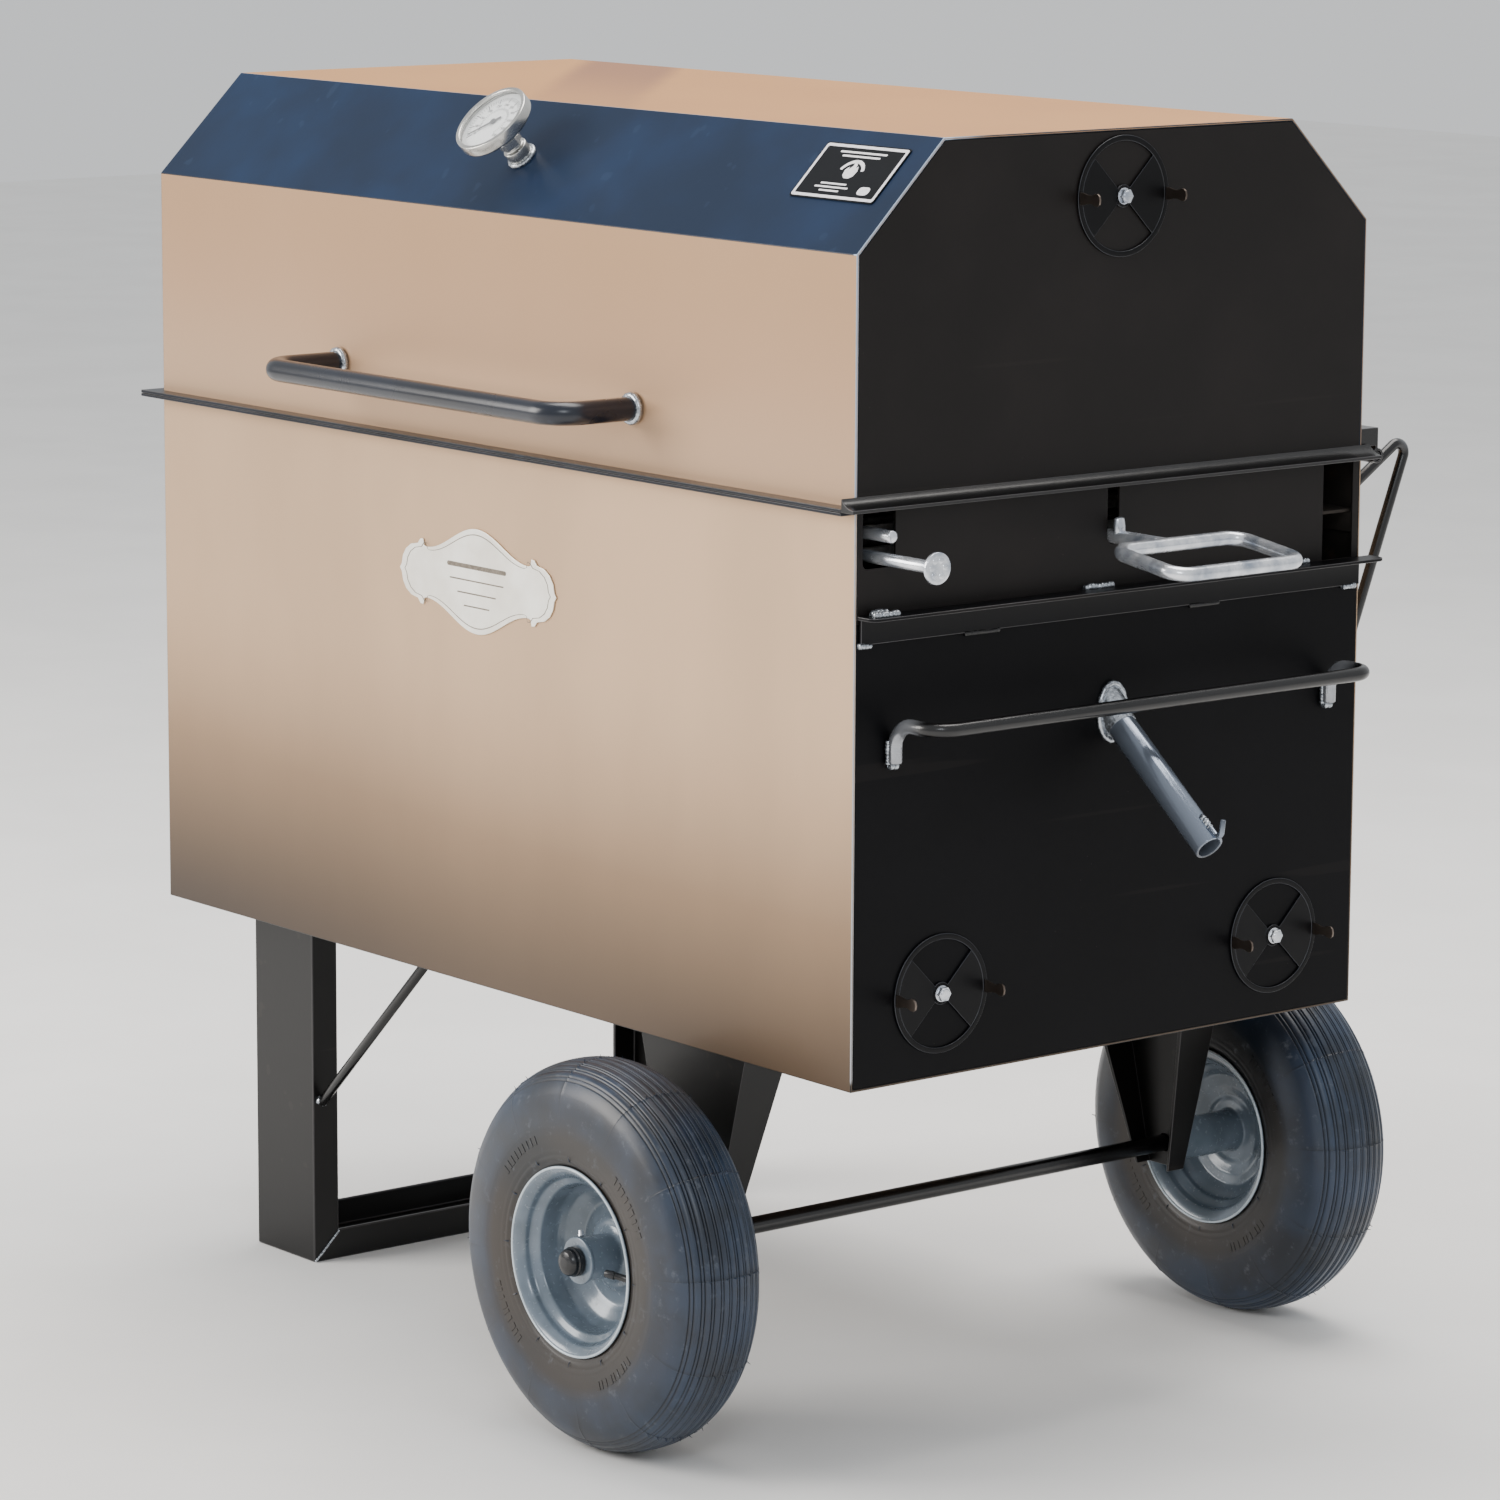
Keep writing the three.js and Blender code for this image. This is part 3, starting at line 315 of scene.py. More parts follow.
def sooty_steel(name, dark, light):
    """Bare or fired steel inside: blotched, matt, with flakes of rust and soot."""
    f = Finish(name, metallic=0.45)
    blotch = f.noise(14, 5)
    rust = f.fade(f.noise(42, 5), 0.58, 0.72)
    tone = f.mix(f.fade(blotch, 0.3, 0.7), dark, light)
    f.set(Base_Color=f.mix(rust * 0.5, tone, "4a3426"), Roughness=0.58 + blotch * 0.25)
    return f.bump(blotch + f.noise(600, 3) * 0.5, 0.0002, 0.5).material


def rubber(name):
    """Dark moulded rubber with dusty patches; the tread's blue-grey is a painted sky reflection and the
    sidewall's browner tone a painted warm reflection.
    """
    f = Finish(name, Specular_IOR_Level=0.55)
    side = f.node("Attribute", {"attribute_name": "sidewall"}, {}, "Fac")
    cloud = f.noise(16, 4)
    scuff = f.fade(f.noise(85, 5, (1, 1, 1), 0.7), 0.57, 0.72)
    # Tread blue-grey: painted sky reflection; sidewall brown: painted warm reflection.
    tread = f.mix(f.fade(cloud, 0.3, 0.7), "111b28", "223349")
    flank = f.mix(f.fade(f.noise(5, 2), 0.35, 0.65), "131518", "2a231d")
    tone = f.mix(side, tread, flank)
    # Grooves and the lines beside the cross ridges are painted near black as shade.
    tone = f.mix(f.node("Attribute", {"attribute_name": "groove"}, {}, "Fac") * 0.85, tone, "07080a")
    tone = f.mix(scuff * 0.22, tone, "7d838c")
    f.set(Base_Color=tone, Roughness=0.31 + cloud * 0.12 + scuff * 0.2)
    return f.bump(f.noise(700, 3) + f.cells(420) * 0.3, 0.0001, 0.45).material


def enamel(name, dark, light):
    """Glossy sprayed enamel with dust settled in it."""
    f = Finish(name, metallic=0.15, Coat_Weight=0.6, Coat_Roughness=0.12)
    cloud = f.noise(24, 3)
    dust = f.fade(f.noise(240, 3), 0.62, 0.75)
    tone = f.mix(f.fade(cloud, 0.3, 0.7), dark, light)
    f.set(Base_Color=f.mix(dust * 0.07, tone, "c9c5bb"), Roughness=0.26 + dust * 0.25)
    return f.bump(f.noise(420, 2), 0.00005, 0.4).material


def plain_skin(name, dark, light, rough, metallic=0.0, scale=300):
    """Moulded or printed surfaces: a narrow range of tone over a fine grain."""
    f = Finish(name, metallic=metallic)
    grain = f.noise(scale, 3)
    f.set(Base_Color=f.mix(f.fade(grain, 0.3, 0.7), dark, light), Roughness=rough + grain * 0.12)
    return f.bump(grain, 0.00003, 0.35).material


def clear_glass(name):
    """A thin clear window with faint smears."""
    f = Finish(name, Specular_IOR_Level=0.6, IOR=1.45)
    smear = f.noise(60, 3)
    f.set(Base_Color=f.mix(smear, "eef4f7", "ffffff"), Roughness=0.03 + smear * 0.05,
          Alpha=0.08 + smear * 0.05)
    return f.material


# Painted reflections: the panels' tan and the lid top's orange stand for reflected surroundings. The body
# panel is darker towards the bottom, where it reflects the ground, and the lid top has a brown painted
# reflection band.
BODY_TAN_REFLECTION = painted_reflection_panel("body_panel_painted_tan_reflection", "35291e", "8f7357", "ccaa88", -0.03, 0.34, 0.12)
LID_TAN_REFLECTION = painted_reflection_panel("lid_panel_painted_tan_reflection", "b8987a", "b48f6e", "ae8863", 0.50, 0.72, 0.12)
LID_TOP_WARM_REFLECTION = painted_reflection_panel("lid_top_painted_warm_reflection", "dcaa66", "c8893a", "b06c1e", -4.0, 5.0, 0.15,
                      ((-205, 0, LID_TOP), (0.672, 0.741), 48, "6f3018"))
# The front slope's navy is black paint tinted as a painted reflection of the sky.
SLOPE_SKY_REFLECTION = black_satin("slope_painted_sky_reflection", "102036", "152a47", 0.42, "33445f", 0.19)
BODY_BLACK = black_satin("body_end_paint", "060608", "0a0a0d", 0.40, "2a2624", 0.10)
LID_BLACK = black_satin("lid_end_paint", "141110", "1b1716", 0.42, "2e2926", 0.20)
FRAME_BLACK = black_satin("frame_paint_satin", "070708", "100f10", 0.20, "3a332e", 0.6)
# The lid handle and the flanges are black tinted blue as a painted reflection of the sky.
HANDLE_SKY_REFLECTION = black_satin("handle_painted_sky_reflection", "080e1a", "0e1727", 0.22, "3a4458", 0.6)
FLANGE_SKY_REFLECTION = black_satin("flange_painted_sky_reflection", "070c17", "0c1423", 0.30, "3a4458", 0.3)
# On the spout, the pale blue bare colour is a painted highlight: its wear spreads along the whole pipe, with
# worn paint near the ends.
SPOUT_PAINT_AND_HIGHLIGHT = black_satin("spout_paint_and_painted_highlight", "070708", "100f10", 0.20, "3a332e", 0.6, "9aa5b6")
LEDGE_BLACK = black_satin("ledge_paint", "070709", "0c0c0f", 0.33, "3a332e", 0.16)
LEG_BLACK = black_satin("leg_paint_satin", "070606", "0f0e0d", 0.34, "3a332e", 0.35)
DAMPER_BLACK = black_satin("damper_paint", "060608", "0a0a0d", 0.36, "2a2624", 0.16)
# Lighter rounded edges of the damper discs: a painted edge highlight.
DAMPER_EDGE_HIGHLIGHT = black_satin("damper_edge_painted_highlight", "23252b", "343740", 0.25, "4a4d55", 0.6)
TAB = brushed_metal("rubbed_tab_metal", "5d534c", "7b7068", 0.30)


def painted_edge_light_and_shade(name, dark, pale):
    """A bent sheet's edge, dark in the bend as painted shade, with a pale painted highlight at the right
    front corner and along the lid's top crease.
    """
    f = Finish(name, roughness=0.3, metallic=0.3)
    corner_highlight = f.fade(f.axis("X"), float(body_high.x) - 0.006, float(body_high.x) - 0.003)
    corner_highlight = corner_highlight * f.fade(f.axis("Y"), -0.190, -0.205) * f.fade(height_above_floor(f), 0.006, 0.012)
    crease_highlight = f.fade(height_above_floor(f), (LID_TOP - 3) / 1000, (LID_TOP - 1) / 1000, 0.0, 0.7)
    grain = f.noise(90, 4)
    share = corner_highlight * (0.75 + grain * 0.5) + crease_highlight * f.fade(f.axis("Y"), -0.150, -0.190)
    f.set(Base_Color=f.mix(share, dark, pale), Roughness=0.26 + grain * 0.14)
    return f.material


# Bent edges: dark painted shade in the bends, pale painted highlights at the right front corner and the lid's
# top crease.
BODY_EDGE_LIGHT_AND_SHADE = painted_edge_light_and_shade("body_edge_painted_light_and_shade", "201b17", "b6bac0")
LID_EDGE_LIGHT_AND_SHADE = painted_edge_light_and_shade("lid_edge_painted_light_and_shade", "1a2230", "a7b6c9")
# Lighter rounded edges on flanges, hinges, ledge and legs: a painted edge highlight.
DARK_EDGE_HIGHLIGHT = black_satin("dark_edge_painted_highlight", "2d2b2c", "454347", 0.25, "5a544e", 0.6)
WELD = bright_metal("weld_bead", "6f7277", "ccd2d9", 0.16, 260, spangle=0.3, metal=0.85, pits=0.0002)
ZINC = bright_metal("mottled_zinc", "97a1b0", "f1f3f7", 0.15, 48, pits=0.00002)
STEEL = brushed_metal("brushed_stainless", "b9b8b4", "dddcd8", 0.16)
CREAM = brushed_metal("brushed_plaque", "f0ebe0", "fffdf6", 0.34)
ENGRAVED = plain_skin("engraved_line", "6b6257", "857b6e", 0.5, 0.5)
GRATE = bright_metal("grate_rods", "7d7b78", "b4b2ae", 0.28, 130)
SOOT = sooty_steel("sooty_steel", "16130f", "2d2824")
IRON = sooty_steel("fired_iron", "1d1a18", "38322d")
RUBBER = rubber("moulded_rubber")
RIM = enamel("grey_blue_enamel", "56626c", "6d7a87")
# The rim lips take a paler enamel as a painted highlight line.
RIM_LIP_HIGHLIGHT = enamel("rim_lip_painted_highlight", "a9b7c1", "cbd6dd")
CAP = plain_skin("cap_plastic", "0e0f11", "1b1c20", 0.18, 0.0, 120)
DIAL = plain_skin("dial_face", "e9ecec", "f6f7f6", 0.35, 0.0, 500)
INK = plain_skin("printed_ink", "121316", "23252a", 0.4)
NEEDLE_PAINT = plain_skin("needle_paint", "1a1b1f", "2c2e34", 0.3)
GLASS = clear_glass("gauge_window")
LABEL = black_satin("label_ground", "05070b", "0a0d13", 0.42, "2a2e36", 0.15)
LABEL_INK = plain_skin("label_print", "e3e1e6", "f4f2f6", 0.4)


# ---- shapes as arrays
def joined(parts):
    """Several (points, faces) shapes as one, their faces numbered on."""
    points, faces, start = [], [], 0
    for p, fs in parts:
        p = np.asarray(p, float).reshape(-1, 3)
        points.append(p)
        faces += [(np.asarray(f) + start).tolist() for f in fs]
        start += len(p)
    return np.vstack(points), faces


def surface(points, close_rows=False, close_columns=False):
    """A grid of points, rows by columns, as (points, quads). It may close on itself in either direction."""
    rows, columns = points.shape[:2]
    i = np.arange(rows if close_rows else rows - 1)
    j = np.arange(columns if close_columns else columns - 1)
    a, b = np.meshgrid(i, j, indexing="ij")
    a2, b2 = (a + 1) % rows, (b + 1) % columns
    quads = np.stack([a * columns + b, a2 * columns + b, a2 * columns + b2, a * columns + b2], -1)
    return points.reshape(-1, 3), list(quads.reshape(-1, 4))


def ellipse(centre, across, up, sides):
    """point(a) = centre + cos a * across + sin a * up, once round."""
    a = np.linspace(0, 2 * math.pi, sides, endpoint=False)[:, None]
    return np.asarray(centre, float) + np.cos(a) * across + np.sin(a) * up


def rounded_profile(corners, radius, steps=4, closed=False):
    """A line of [radius, height] corners, each rounded by a quadratic curve that starts radius before it."""
    c = np.asarray(corners, float)
    out = [] if closed else [c[:1]]
    n = len(c)
    t = np.linspace(0, 1, steps + 1)[:, None]
    for i in range(0 if closed else 1, n if closed else n - 1):
        before, at, after = c[i - 1], c[i], c[(i + 1) % n]
        back, on = before - at, after - at
        lb, lo = np.linalg.norm(back), np.linalg.norm(on)
        cut = min(radius, 0.45 * lb, 0.45 * lo)
        a, b = at + back / lb * cut, at + on / lo * cut
        out.append((1 - t) ** 2 * a + 2 * t * (1 - t) * at + t ** 2 * b)
    if not closed:
        out.append(c[-1:])
    return np.vstack(out)


def turned(corners, rounding, sides, where, axis, across, steps=4, closed=False):
    """A rounded profile of [radius r, height h] turned about an axis: point(t, a) = where + h(t) * axis
    + r(t) * (cos a * across + sin a * (axis x across))."""
    axis, across = np.asarray(axis, float), np.asarray(across, float)
    r, h = rounded_profile(corners, rounding, steps, closed).T
    ring = ellipse((0, 0, 0), across, np.cross(axis, across), sides)
    grid = np.asarray(where, float) + h[:, None, None] * axis + r[:, None, None] * ring[None]
    return surface(grid, closed, True)


def bent(corners, bend, steps=10, closed=False):
    """A centre line of straight runs whose corners follow circles of the bend radius."""
    c = [np.asarray(p, float) for p in corners]
    n = len(c)
    out = [] if closed else [c[0][None]]
    for i in range(0 if closed else 1, n if closed else n - 1):
        back, on = c[i - 1] - c[i], c[(i + 1) % n] - c[i]
        back, on = back / np.linalg.norm(back), on / np.linalg.norm(on)
        half = math.acos(np.clip(back @ on, -1, 1)) / 2
        middle = c[i] + (back + on) / np.linalg.norm(back + on) * bend / math.sin(half)
        start = c[i] + back * bend / math.tan(half) - middle
        stop = c[i] + on * bend / math.tan(half) - middle
        turn = math.acos(np.clip(start @ stop / bend ** 2, -1, 1))
        t = np.linspace(0, 1, steps + 1)[:, None]
        out.append(middle + (np.sin((1 - t) * turn) * start + np.sin(t * turn) * stop) / math.sin(turn))
    if not closed:
        out.append(c[-1][None])
    return np.vstack(out)


def tube(line, radius, sides=20, closed=False, round_ends=True, flatten=1.0):
    """A circle carried along a line: point(s, a) = line(s) + radius(s) * (cos a * n + sin a * b), where n and
    b turn with the line as little as they can. Round ends shrink to a pole over a third of a radius."""
    line = np.asarray(line, float)
    radius = np.broadcast_to(np.asarray(radius, float), len(line)).copy()
    if not closed and round_ends:
        dome = np.linspace(0, math.pi / 2, 5)
        first, last = line[0] - line[1], line[-1] - line[-2]
        first, last = first / np.linalg.norm(first), last / np.linalg.norm(last)
        head = line[0] + first * (np.sin(dome[::-1])[:, None] - 1) * radius[0] * 0.35
        tail = line[-1] + last * (np.sin(dome)[:, None] - 1) * radius[-1] * 0.35
        line = np.vstack([head, line[1:-1], tail])
        radius = np.concatenate([np.cos(dome[::-1]) * radius[0], radius[1:-1], np.cos(dome) * radius[-1]])
    step = np.roll(line, -1, 0) - np.roll(line, 1, 0)
    if not closed:
        step[0], step[-1] = line[1] - line[0], line[-1] - line[-2]
    along = step / np.maximum(np.linalg.norm(step, axis=1, keepdims=True), 1e-9)
    seed = Z if abs(along[0] @ Z) < 0.9 else X
    n = np.cross(along[0], seed)
    across = []
    for t in along:
        n = n - t * (n @ t)
        n = n / np.linalg.norm(n)
        across.append(n)
    across = np.array(across)
    other = np.cross(along, across) * flatten
    a = np.linspace(0, 2 * math.pi, sides, endpoint=False)
    grid = line[:, None] + radius[:, None, None] * (np.cos(a)[None, :, None] * across[:, None]
                                                    + np.sin(a)[None, :, None] * other[:, None])
    points, faces = surface(grid, closed, True)
    if not closed and not round_ends:
        faces += [np.arange(sides)[::-1], np.arange(sides) + len(points) - sides]
    return points, faces


def rod(start, stop, radius, sides):
    """A straight round rod with slightly domed ends."""
    start, stop = np.asarray(start, float), np.asarray(stop, float)
    return tube([start, (start + stop) / 2, stop], radius, sides)


def block(low, high):
    """A box between two corners."""
    (a, b, c), (d, e, f) = np.minimum(low, high), np.maximum(low, high)
    p = np.array([[a, b, c], [d, b, c], [d, e, c], [a, e, c], [a, b, f], [d, b, f], [d, e, f], [a, e, f]])
    return p, [[0, 3, 2, 1], [4, 5, 6, 7], [0, 1, 5, 4], [1, 2, 6, 5], [2, 3, 7, 6], [3, 0, 4, 7]]


def slab(outline, where, across, up, thick):
    """A flat outline in the plane of two axes, thickened along their normal."""
    o = np.asarray(outline, float)
    flat = np.asarray(where, float) + o[:, :1] * np.asarray(across) + o[:, 1:] * np.asarray(up)
    normal = np.cross(across, up)
    n = len(o)
    i = np.arange(n)
    sides = np.stack([i, (i + 1) % n, (i + 1) % n + n, i + n], -1)
    return np.vstack([flat, flat + normal * thick]), [i[::-1], i + n, *sides]


def arc(radius, start, stop, steps):
    a = np.radians(np.linspace(start, stop, steps))
    return np.stack([radius * np.cos(a), radius * np.sin(a)], -1)


def bead(start, stop, radius, rise=Z, seed=0):
    """A weld between two points: overlapping ripples, radius * (0.82 + 0.22 * |sin| + a little chance)."""
    start, stop = np.asarray(start, float), np.asarray(stop, float)
    lumps = max(2, int(np.linalg.norm(stop - start) / (radius * 1.1)))
    t = np.linspace(0, 1, lumps * 6 + 1)
    chance = np.random.default_rng(seed)
    wander = np.interp(t, np.linspace(0, 1, lumps + 1), chance.uniform(-0.16, 0.16, lumps + 1))
    swell = 0.82 + 0.22 * np.abs(np.sin(math.pi * t * lumps)) + wander
    line = start + (stop - start) * t[:, None] + np.asarray(rise) * (wander * radius)[:, None]
    return tube(line, radius * swell, 12)


def ring_weld(centre, across, up, sides, radius, swell, lumps, around=12):
    """A weld round an ellipse: its thickness is radius + swell * |sin(lumps * a)|."""
    a = np.linspace(0, 2 * math.pi, sides, endpoint=False)
    return tube(ellipse(centre, across, up, sides), radius + swell * np.abs(np.sin(a * lumps)), around, True)


# ---- putting shapes into the scene
def put(name, shapes, material, rides, stands_for=(), smooth=40, bevel=0.0, merge=True, edge=None):
    """One piece from (points, faces) shapes in body millimetres."""
    points, faces = joined(shapes)
    mesh = bpy.data.meshes.new(name)
    mesh.from_pydata(mm(points).tolist(), [], faces)
    work = bmesh.new()
    work.from_mesh(mesh)
    if merge:
        bmesh.ops.remove_doubles(work, verts=work.verts, dist=2e-6)
        bmesh.ops.dissolve_degenerate(work, edges=work.edges, dist=1e-6)
    bmesh.ops.recalc_face_normals(work, faces=work.faces)
    work.to_mesh(mesh)
    work.free()
    mesh.shade_smooth()
    mesh.set_sharp_from_angle(angle=math.radians(smooth))
    if edge:
        return settle(name, mesh, [material, edge], rides, stands_for, bevel, 1)
    return settle(name, mesh, [material], rides, stands_for, bevel)


def settle(name, mesh, materials, rides, stands_for=(), bevel=0.0, edge=-1):
    """Links a finished mesh, rounds its sharp edges if asked, and says what it rides on and stands for."""
    for m in materials:
        mesh.materials.append(m)
    piece = bpy.data.objects.new(name, mesh)
    bpy.context.scene.collection.objects.link(piece)
    if bevel:
        rounding = piece.modifiers.new("rounding", "BEVEL")
        rounding.width, rounding.segments, rounding.limit_method = bevel / 1000, 2, "ANGLE"
        rounding.angle_limit = math.radians(38)
        rounding.harden_normals = True
        rounding.material = edge
        rounding.use_clamp_overlap = True
    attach(piece, rides)
    if stands_for:
        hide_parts(*stands_for)
    return piece


def softened(node, materials, bevel=0.7, pick=None, edge=-1):
    """A CAD part's own shape with its flat faces merged and its edges rounded. pick gives each face its
    finish from the face's centre, in body millimetres, and its normal."""
    mesh = frame["nodes"][node].data.copy()
    mesh.name = node + "_finished"
    mesh.materials.clear()
    work = bmesh.new()
    work.from_mesh(mesh)
    bmesh.ops.remove_doubles(work, verts=work.verts, dist=2e-6)
    bmesh.ops.dissolve_limit(work, angle_limit=math.radians(1.0), verts=work.verts, edges=work.edges)
    if pick:
        for face in work.faces:
            centre = (np.array(face.calc_center_median()) - ORIGIN) * 1000
            face.material_index = pick(centre, np.array(face.normal))
    work.to_mesh(mesh)
    work.free()
    mesh.shade_smooth()
    mesh.set_sharp_from_angle(angle=math.radians(30))
    rides = frame["nodes"][node]["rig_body"]
    return settle(node + "_finished", mesh, materials, rides, [node], bevel, edge)


def paint(piece, name, values):
    """Gives each point of a piece a value that its finish reads."""
    data = piece.data.attributes.new(name, "FLOAT", "POINT").data
    data.foreach_set("value", np.asarray(values, np.float32).ravel())


def wear_near(piece, centres, radius):
    """Gives a piece its wear: 1 at the listed points, in body millimetres, and 0 a radius away."""
    co = np.zeros(len(piece.data.vertices) * 3, np.float32)
    piece.data.vertices.foreach_get("co", co)
    co = (co.reshape(-1, 3) - ORIGIN) * 1000
    far = np.min([np.linalg.norm(co - np.asarray(c), axis=1) for c in centres], axis=0)
    paint(piece, "wear", np.clip(1 - far / radius, 0, 1) ** 1.3)


# ---- sheet metal kept from the CAD
def panel_faces(centre, normal):
    """0 outside wall, 1 inside."""
    return int(abs(centre[1]) < DEPTH / 2 - 1.2 and centre[2] > 1.2 and abs(normal[0]) < 0.5)


def lid_faces(centre, normal):
    """0 wall, 1 slope, 2 top, 3 inside."""
    outward = normal @ (np.array([0, centre[1], centre[2] - LID_BASE - 60]))
    if abs(normal[0]) > 0.5:
        return 0
    if outward < 0:
        return 3
    if abs(normal[2]) > 0.95:
        return 2 if normal[2] > 0 and centre[2] > LID_TOP - 1 else 3
    return 1 if abs(normal[2]) > 0.4 else 0


def end_faces(centre, normal):
    """0 outside of an end plate, 1 its inside."""
    return int(normal[0] * math.copysign(1, centre[0]) < -0.5)


# The wrappers' outer faces carry painted reflections: tan on the walls, sky on the lid's slope, warm on its
# top.
softened("body_wrapper", [BODY_TAN_REFLECTION, SOOT, BODY_EDGE_LIGHT_AND_SHADE], 0.9, panel_faces, 2)
softened("lid_wrapper", [LID_TAN_REFLECTION, SLOPE_SKY_REFLECTION, LID_TOP_WARM_REFLECTION, SOOT, LID_EDGE_LIGHT_AND_SHADE], 1.0, lid_faces, 4)
for finish, nodes in ((BODY_BLACK, ("left_end_plate", "right_end_plate")),
                      (LID_BLACK, ("right_slot_band", "lid_end_left", "lid_end_right"))):
    for node in nodes:
        softened(node, [finish, SOOT], 0.5, end_faces)
for finish, nodes in ((FLANGE_SKY_REFLECTION, ("body_top_flange", "lid_flange")), (FRAME_BLACK, ("lid_lip_right",)),
                      (LEDGE_BLACK, ("right_ledge_angle",)),
                      (FRAME_BLACK, ("hinge_body_right", "hinge_body_left")),
                      (FRAME_BLACK, ("hinge_lid_right", "hinge_lid_left"))):
    for node in nodes:
        softened(node, [finish, DARK_EDGE_HIGHLIGHT], 0.6, None, 1)
for node in ("leg_front", "leg_rear", "foot_channel", "axle_bracket_front", "axle_bracket_rear"):
    softened(node, [LEG_BLACK, DARK_EDGE_HIGHLIGHT], 1.4, None, 1)
for node in ("drip_pan", "pan_rail_front", "pan_rail_rear", "grate_rest_front", "grate_rest_rear",
             "charcoal_grate"):
    softened(node, [IRON], 0.5)


# ---- grates, their handle and their pin
GRATE_X, GRATE_Y, GRATE_LOW, GRATE_HIGH = END - 33.5, DEPTH / 2 - 37, HEIGHT - 42, HEIGHT - 22
HALF_BAR, ROD_RADIUS, ROD_SPACES = 4, 3, 22
PIN_Y, PIN_RADIUS, PIN_REACH = -(GRATE_Y + 10), 5.5, 74
HANDLE_R, HANDLE_Y, HANDLE_Z, STEM_REACH = 6.35, -4.0, HEIGHT - 46, 68
LOOP_X, HALF_LOOP_Y, LOOP_SHIFT, LOOP_TILT, LOOP_BEND = 84, 73.5, 12, math.radians(8), 17


def grate(z):
    """A frame of square bar with round rods across it."""
    h, low, high, bars = HALF_BAR, z - HALF_BAR, z + HALF_BAR, []
    for y in (-GRATE_Y, GRATE_Y):
        bars.append(block((-GRATE_X - h, y - h, low), (GRATE_X + h, y + h, high)))
    for x in (-GRATE_X, GRATE_X):
        bars.append(block((x - h, -GRATE_Y + h, low), (x + h, GRATE_Y - h, high)))
    places = np.linspace(-GRATE_X, GRATE_X, ROD_SPACES + 1)[1:-1]
    return bars, [rod((x, -GRATE_Y, z), (x, GRATE_Y, z), ROD_RADIUS, 10) for x in places]


def pin_eye(x0, x1):
    """An eye for the pin: a square with a round hole, as a section in Y and Z carried from x0 to x1."""
    around = ellipse((0, 0, 0), Y, Z, 32)
    inner = around * (PIN_RADIUS + 0.8)
    outer = around / np.abs(around).max(1, keepdims=True) * (PIN_RADIUS + 3.6)
    loops = ((x0, outer), (x1, outer), (x1, inner), (x0, inner))
    return surface(np.stack([loop + (x, PIN_Y, GRATE_LOW) for x, loop in loops]), True, True)


bars, rods = grate(GRATE_LOW)
put("lower_grate_rods", rods, GRATE, "grates")
put("lower_grate_frame", [*bars, pin_eye(GRATE_X - 50, GRATE_X - 42), pin_eye(GRATE_X - 8, GRATE_X)], GRATE,
    "grates", ["lower_grate"], bevel=0.7)
bars, rods = grate(GRATE_HIGH)
lug = block((GRATE_X - 8, PIN_Y, GRATE_HIGH - 3), (GRATE_X + 4, -GRATE_Y, GRATE_HIGH + 3))
put("upper_grate_rods", rods, GRATE, "grates")
put("upper_grate_frame", [*bars, lug], GRATE, "grates", ["upper_grate"], bevel=0.7)
stub = rod((GRATE_X - 8, PIN_Y, GRATE_HIGH), (END + 19, PIN_Y, GRATE_HIGH), PIN_RADIUS, 24)
put("upper_grate_stub", [stub], ZINC, "grates")

pin_end = np.array([END + PIN_REACH, PIN_Y, GRATE_LOW])
pin_head = turned([(0, -0.2), (14, -0.2), (14, 3.4), (11.5, 4.0), (0, 3.5)], 1.1, 48, pin_end, X, Y)
chance = np.random.default_rng(5)
dents = [turned([(0, 1.1), (2.2, 1.0), (3.4, -0.2)], 0.9, 14,
                pin_end + X * 3.6 + 7.4 * (Y * math.cos(a) + Z * math.sin(a)), X, Y)
         for a in np.linspace(0, 2 * math.pi, 6, endpoint=False) + chance.uniform(-0.2, 0.2, 6)]
put("locking_pin", [rod((GRATE_X - 54, PIN_Y, GRATE_LOW), pin_end, PIN_RADIUS, 28), pin_head, *dents], ZINC,
    "locking_pin", ["grate_pin"])

stem_end = np.array([END + STEM_REACH, HANDLE_Y, HANDLE_Z])
loop_x = np.array([math.cos(LOOP_TILT), 0, -math.sin(LOOP_TILT)])
loop_corners = [stem_end + loop_x * LOOP_X * a + Y * (LOOP_SHIFT + HALF_LOOP_Y * b)
                for a, b in ((0, -1), (1, -1), (1, 1), (0, 1))]
tip = np.array([END + 8, HANDLE_Y, HANDLE_Z])
put("grate_loop_handle", [rod((GRATE_X + 4.3, HANDLE_Y, HANDLE_Z), stem_end, HANDLE_R, 24),
                          tube([tip + Z * 2, tip + Z * 10, tip + Z * 18 - X * 0.5], [5.9, 5.9, 5.2], 20,
                               flatten=0.72),
                          tube(bent(loop_corners, LOOP_BEND, 12, True), HANDLE_R, 24, True),
                          bead(stem_end + (-8, -6, 3), stem_end + (-2, -8, 3), 2.4, seed=4)],
    ZINC, "grates", ["grate_handle"])


# ---- lid handle, push bars and rests
HAND_X, HAND_Z, HAND_OUT, HAND_BEND, HAND_RADIUS = 227.0, LID_BASE + 58, 85.0, 28, 10.65
WALL_Y = FRONT - GAP
handle_line = bent([(-HAND_X, WALL_Y, HAND_Z), (-HAND_X, WALL_Y - HAND_OUT, HAND_Z),
                    (HAND_X, WALL_Y - HAND_OUT, HAND_Z), (HAND_X, WALL_Y, HAND_Z)], HAND_BEND, 14)
put("lid_handle_tube", [tube(handle_line, HAND_RADIUS, 32, round_ends=False)], HANDLE_SKY_REFLECTION, "lid",
    ["lid_handle"])
put("lid_handle_welds", [ring_weld((s * HAND_X, WALL_Y - 3.2, HAND_Z), X * 11.6, Z * 11.6, 40, 3.0, 0.5, 7)
                         for s in (-1, 1)], WELD, "lid")

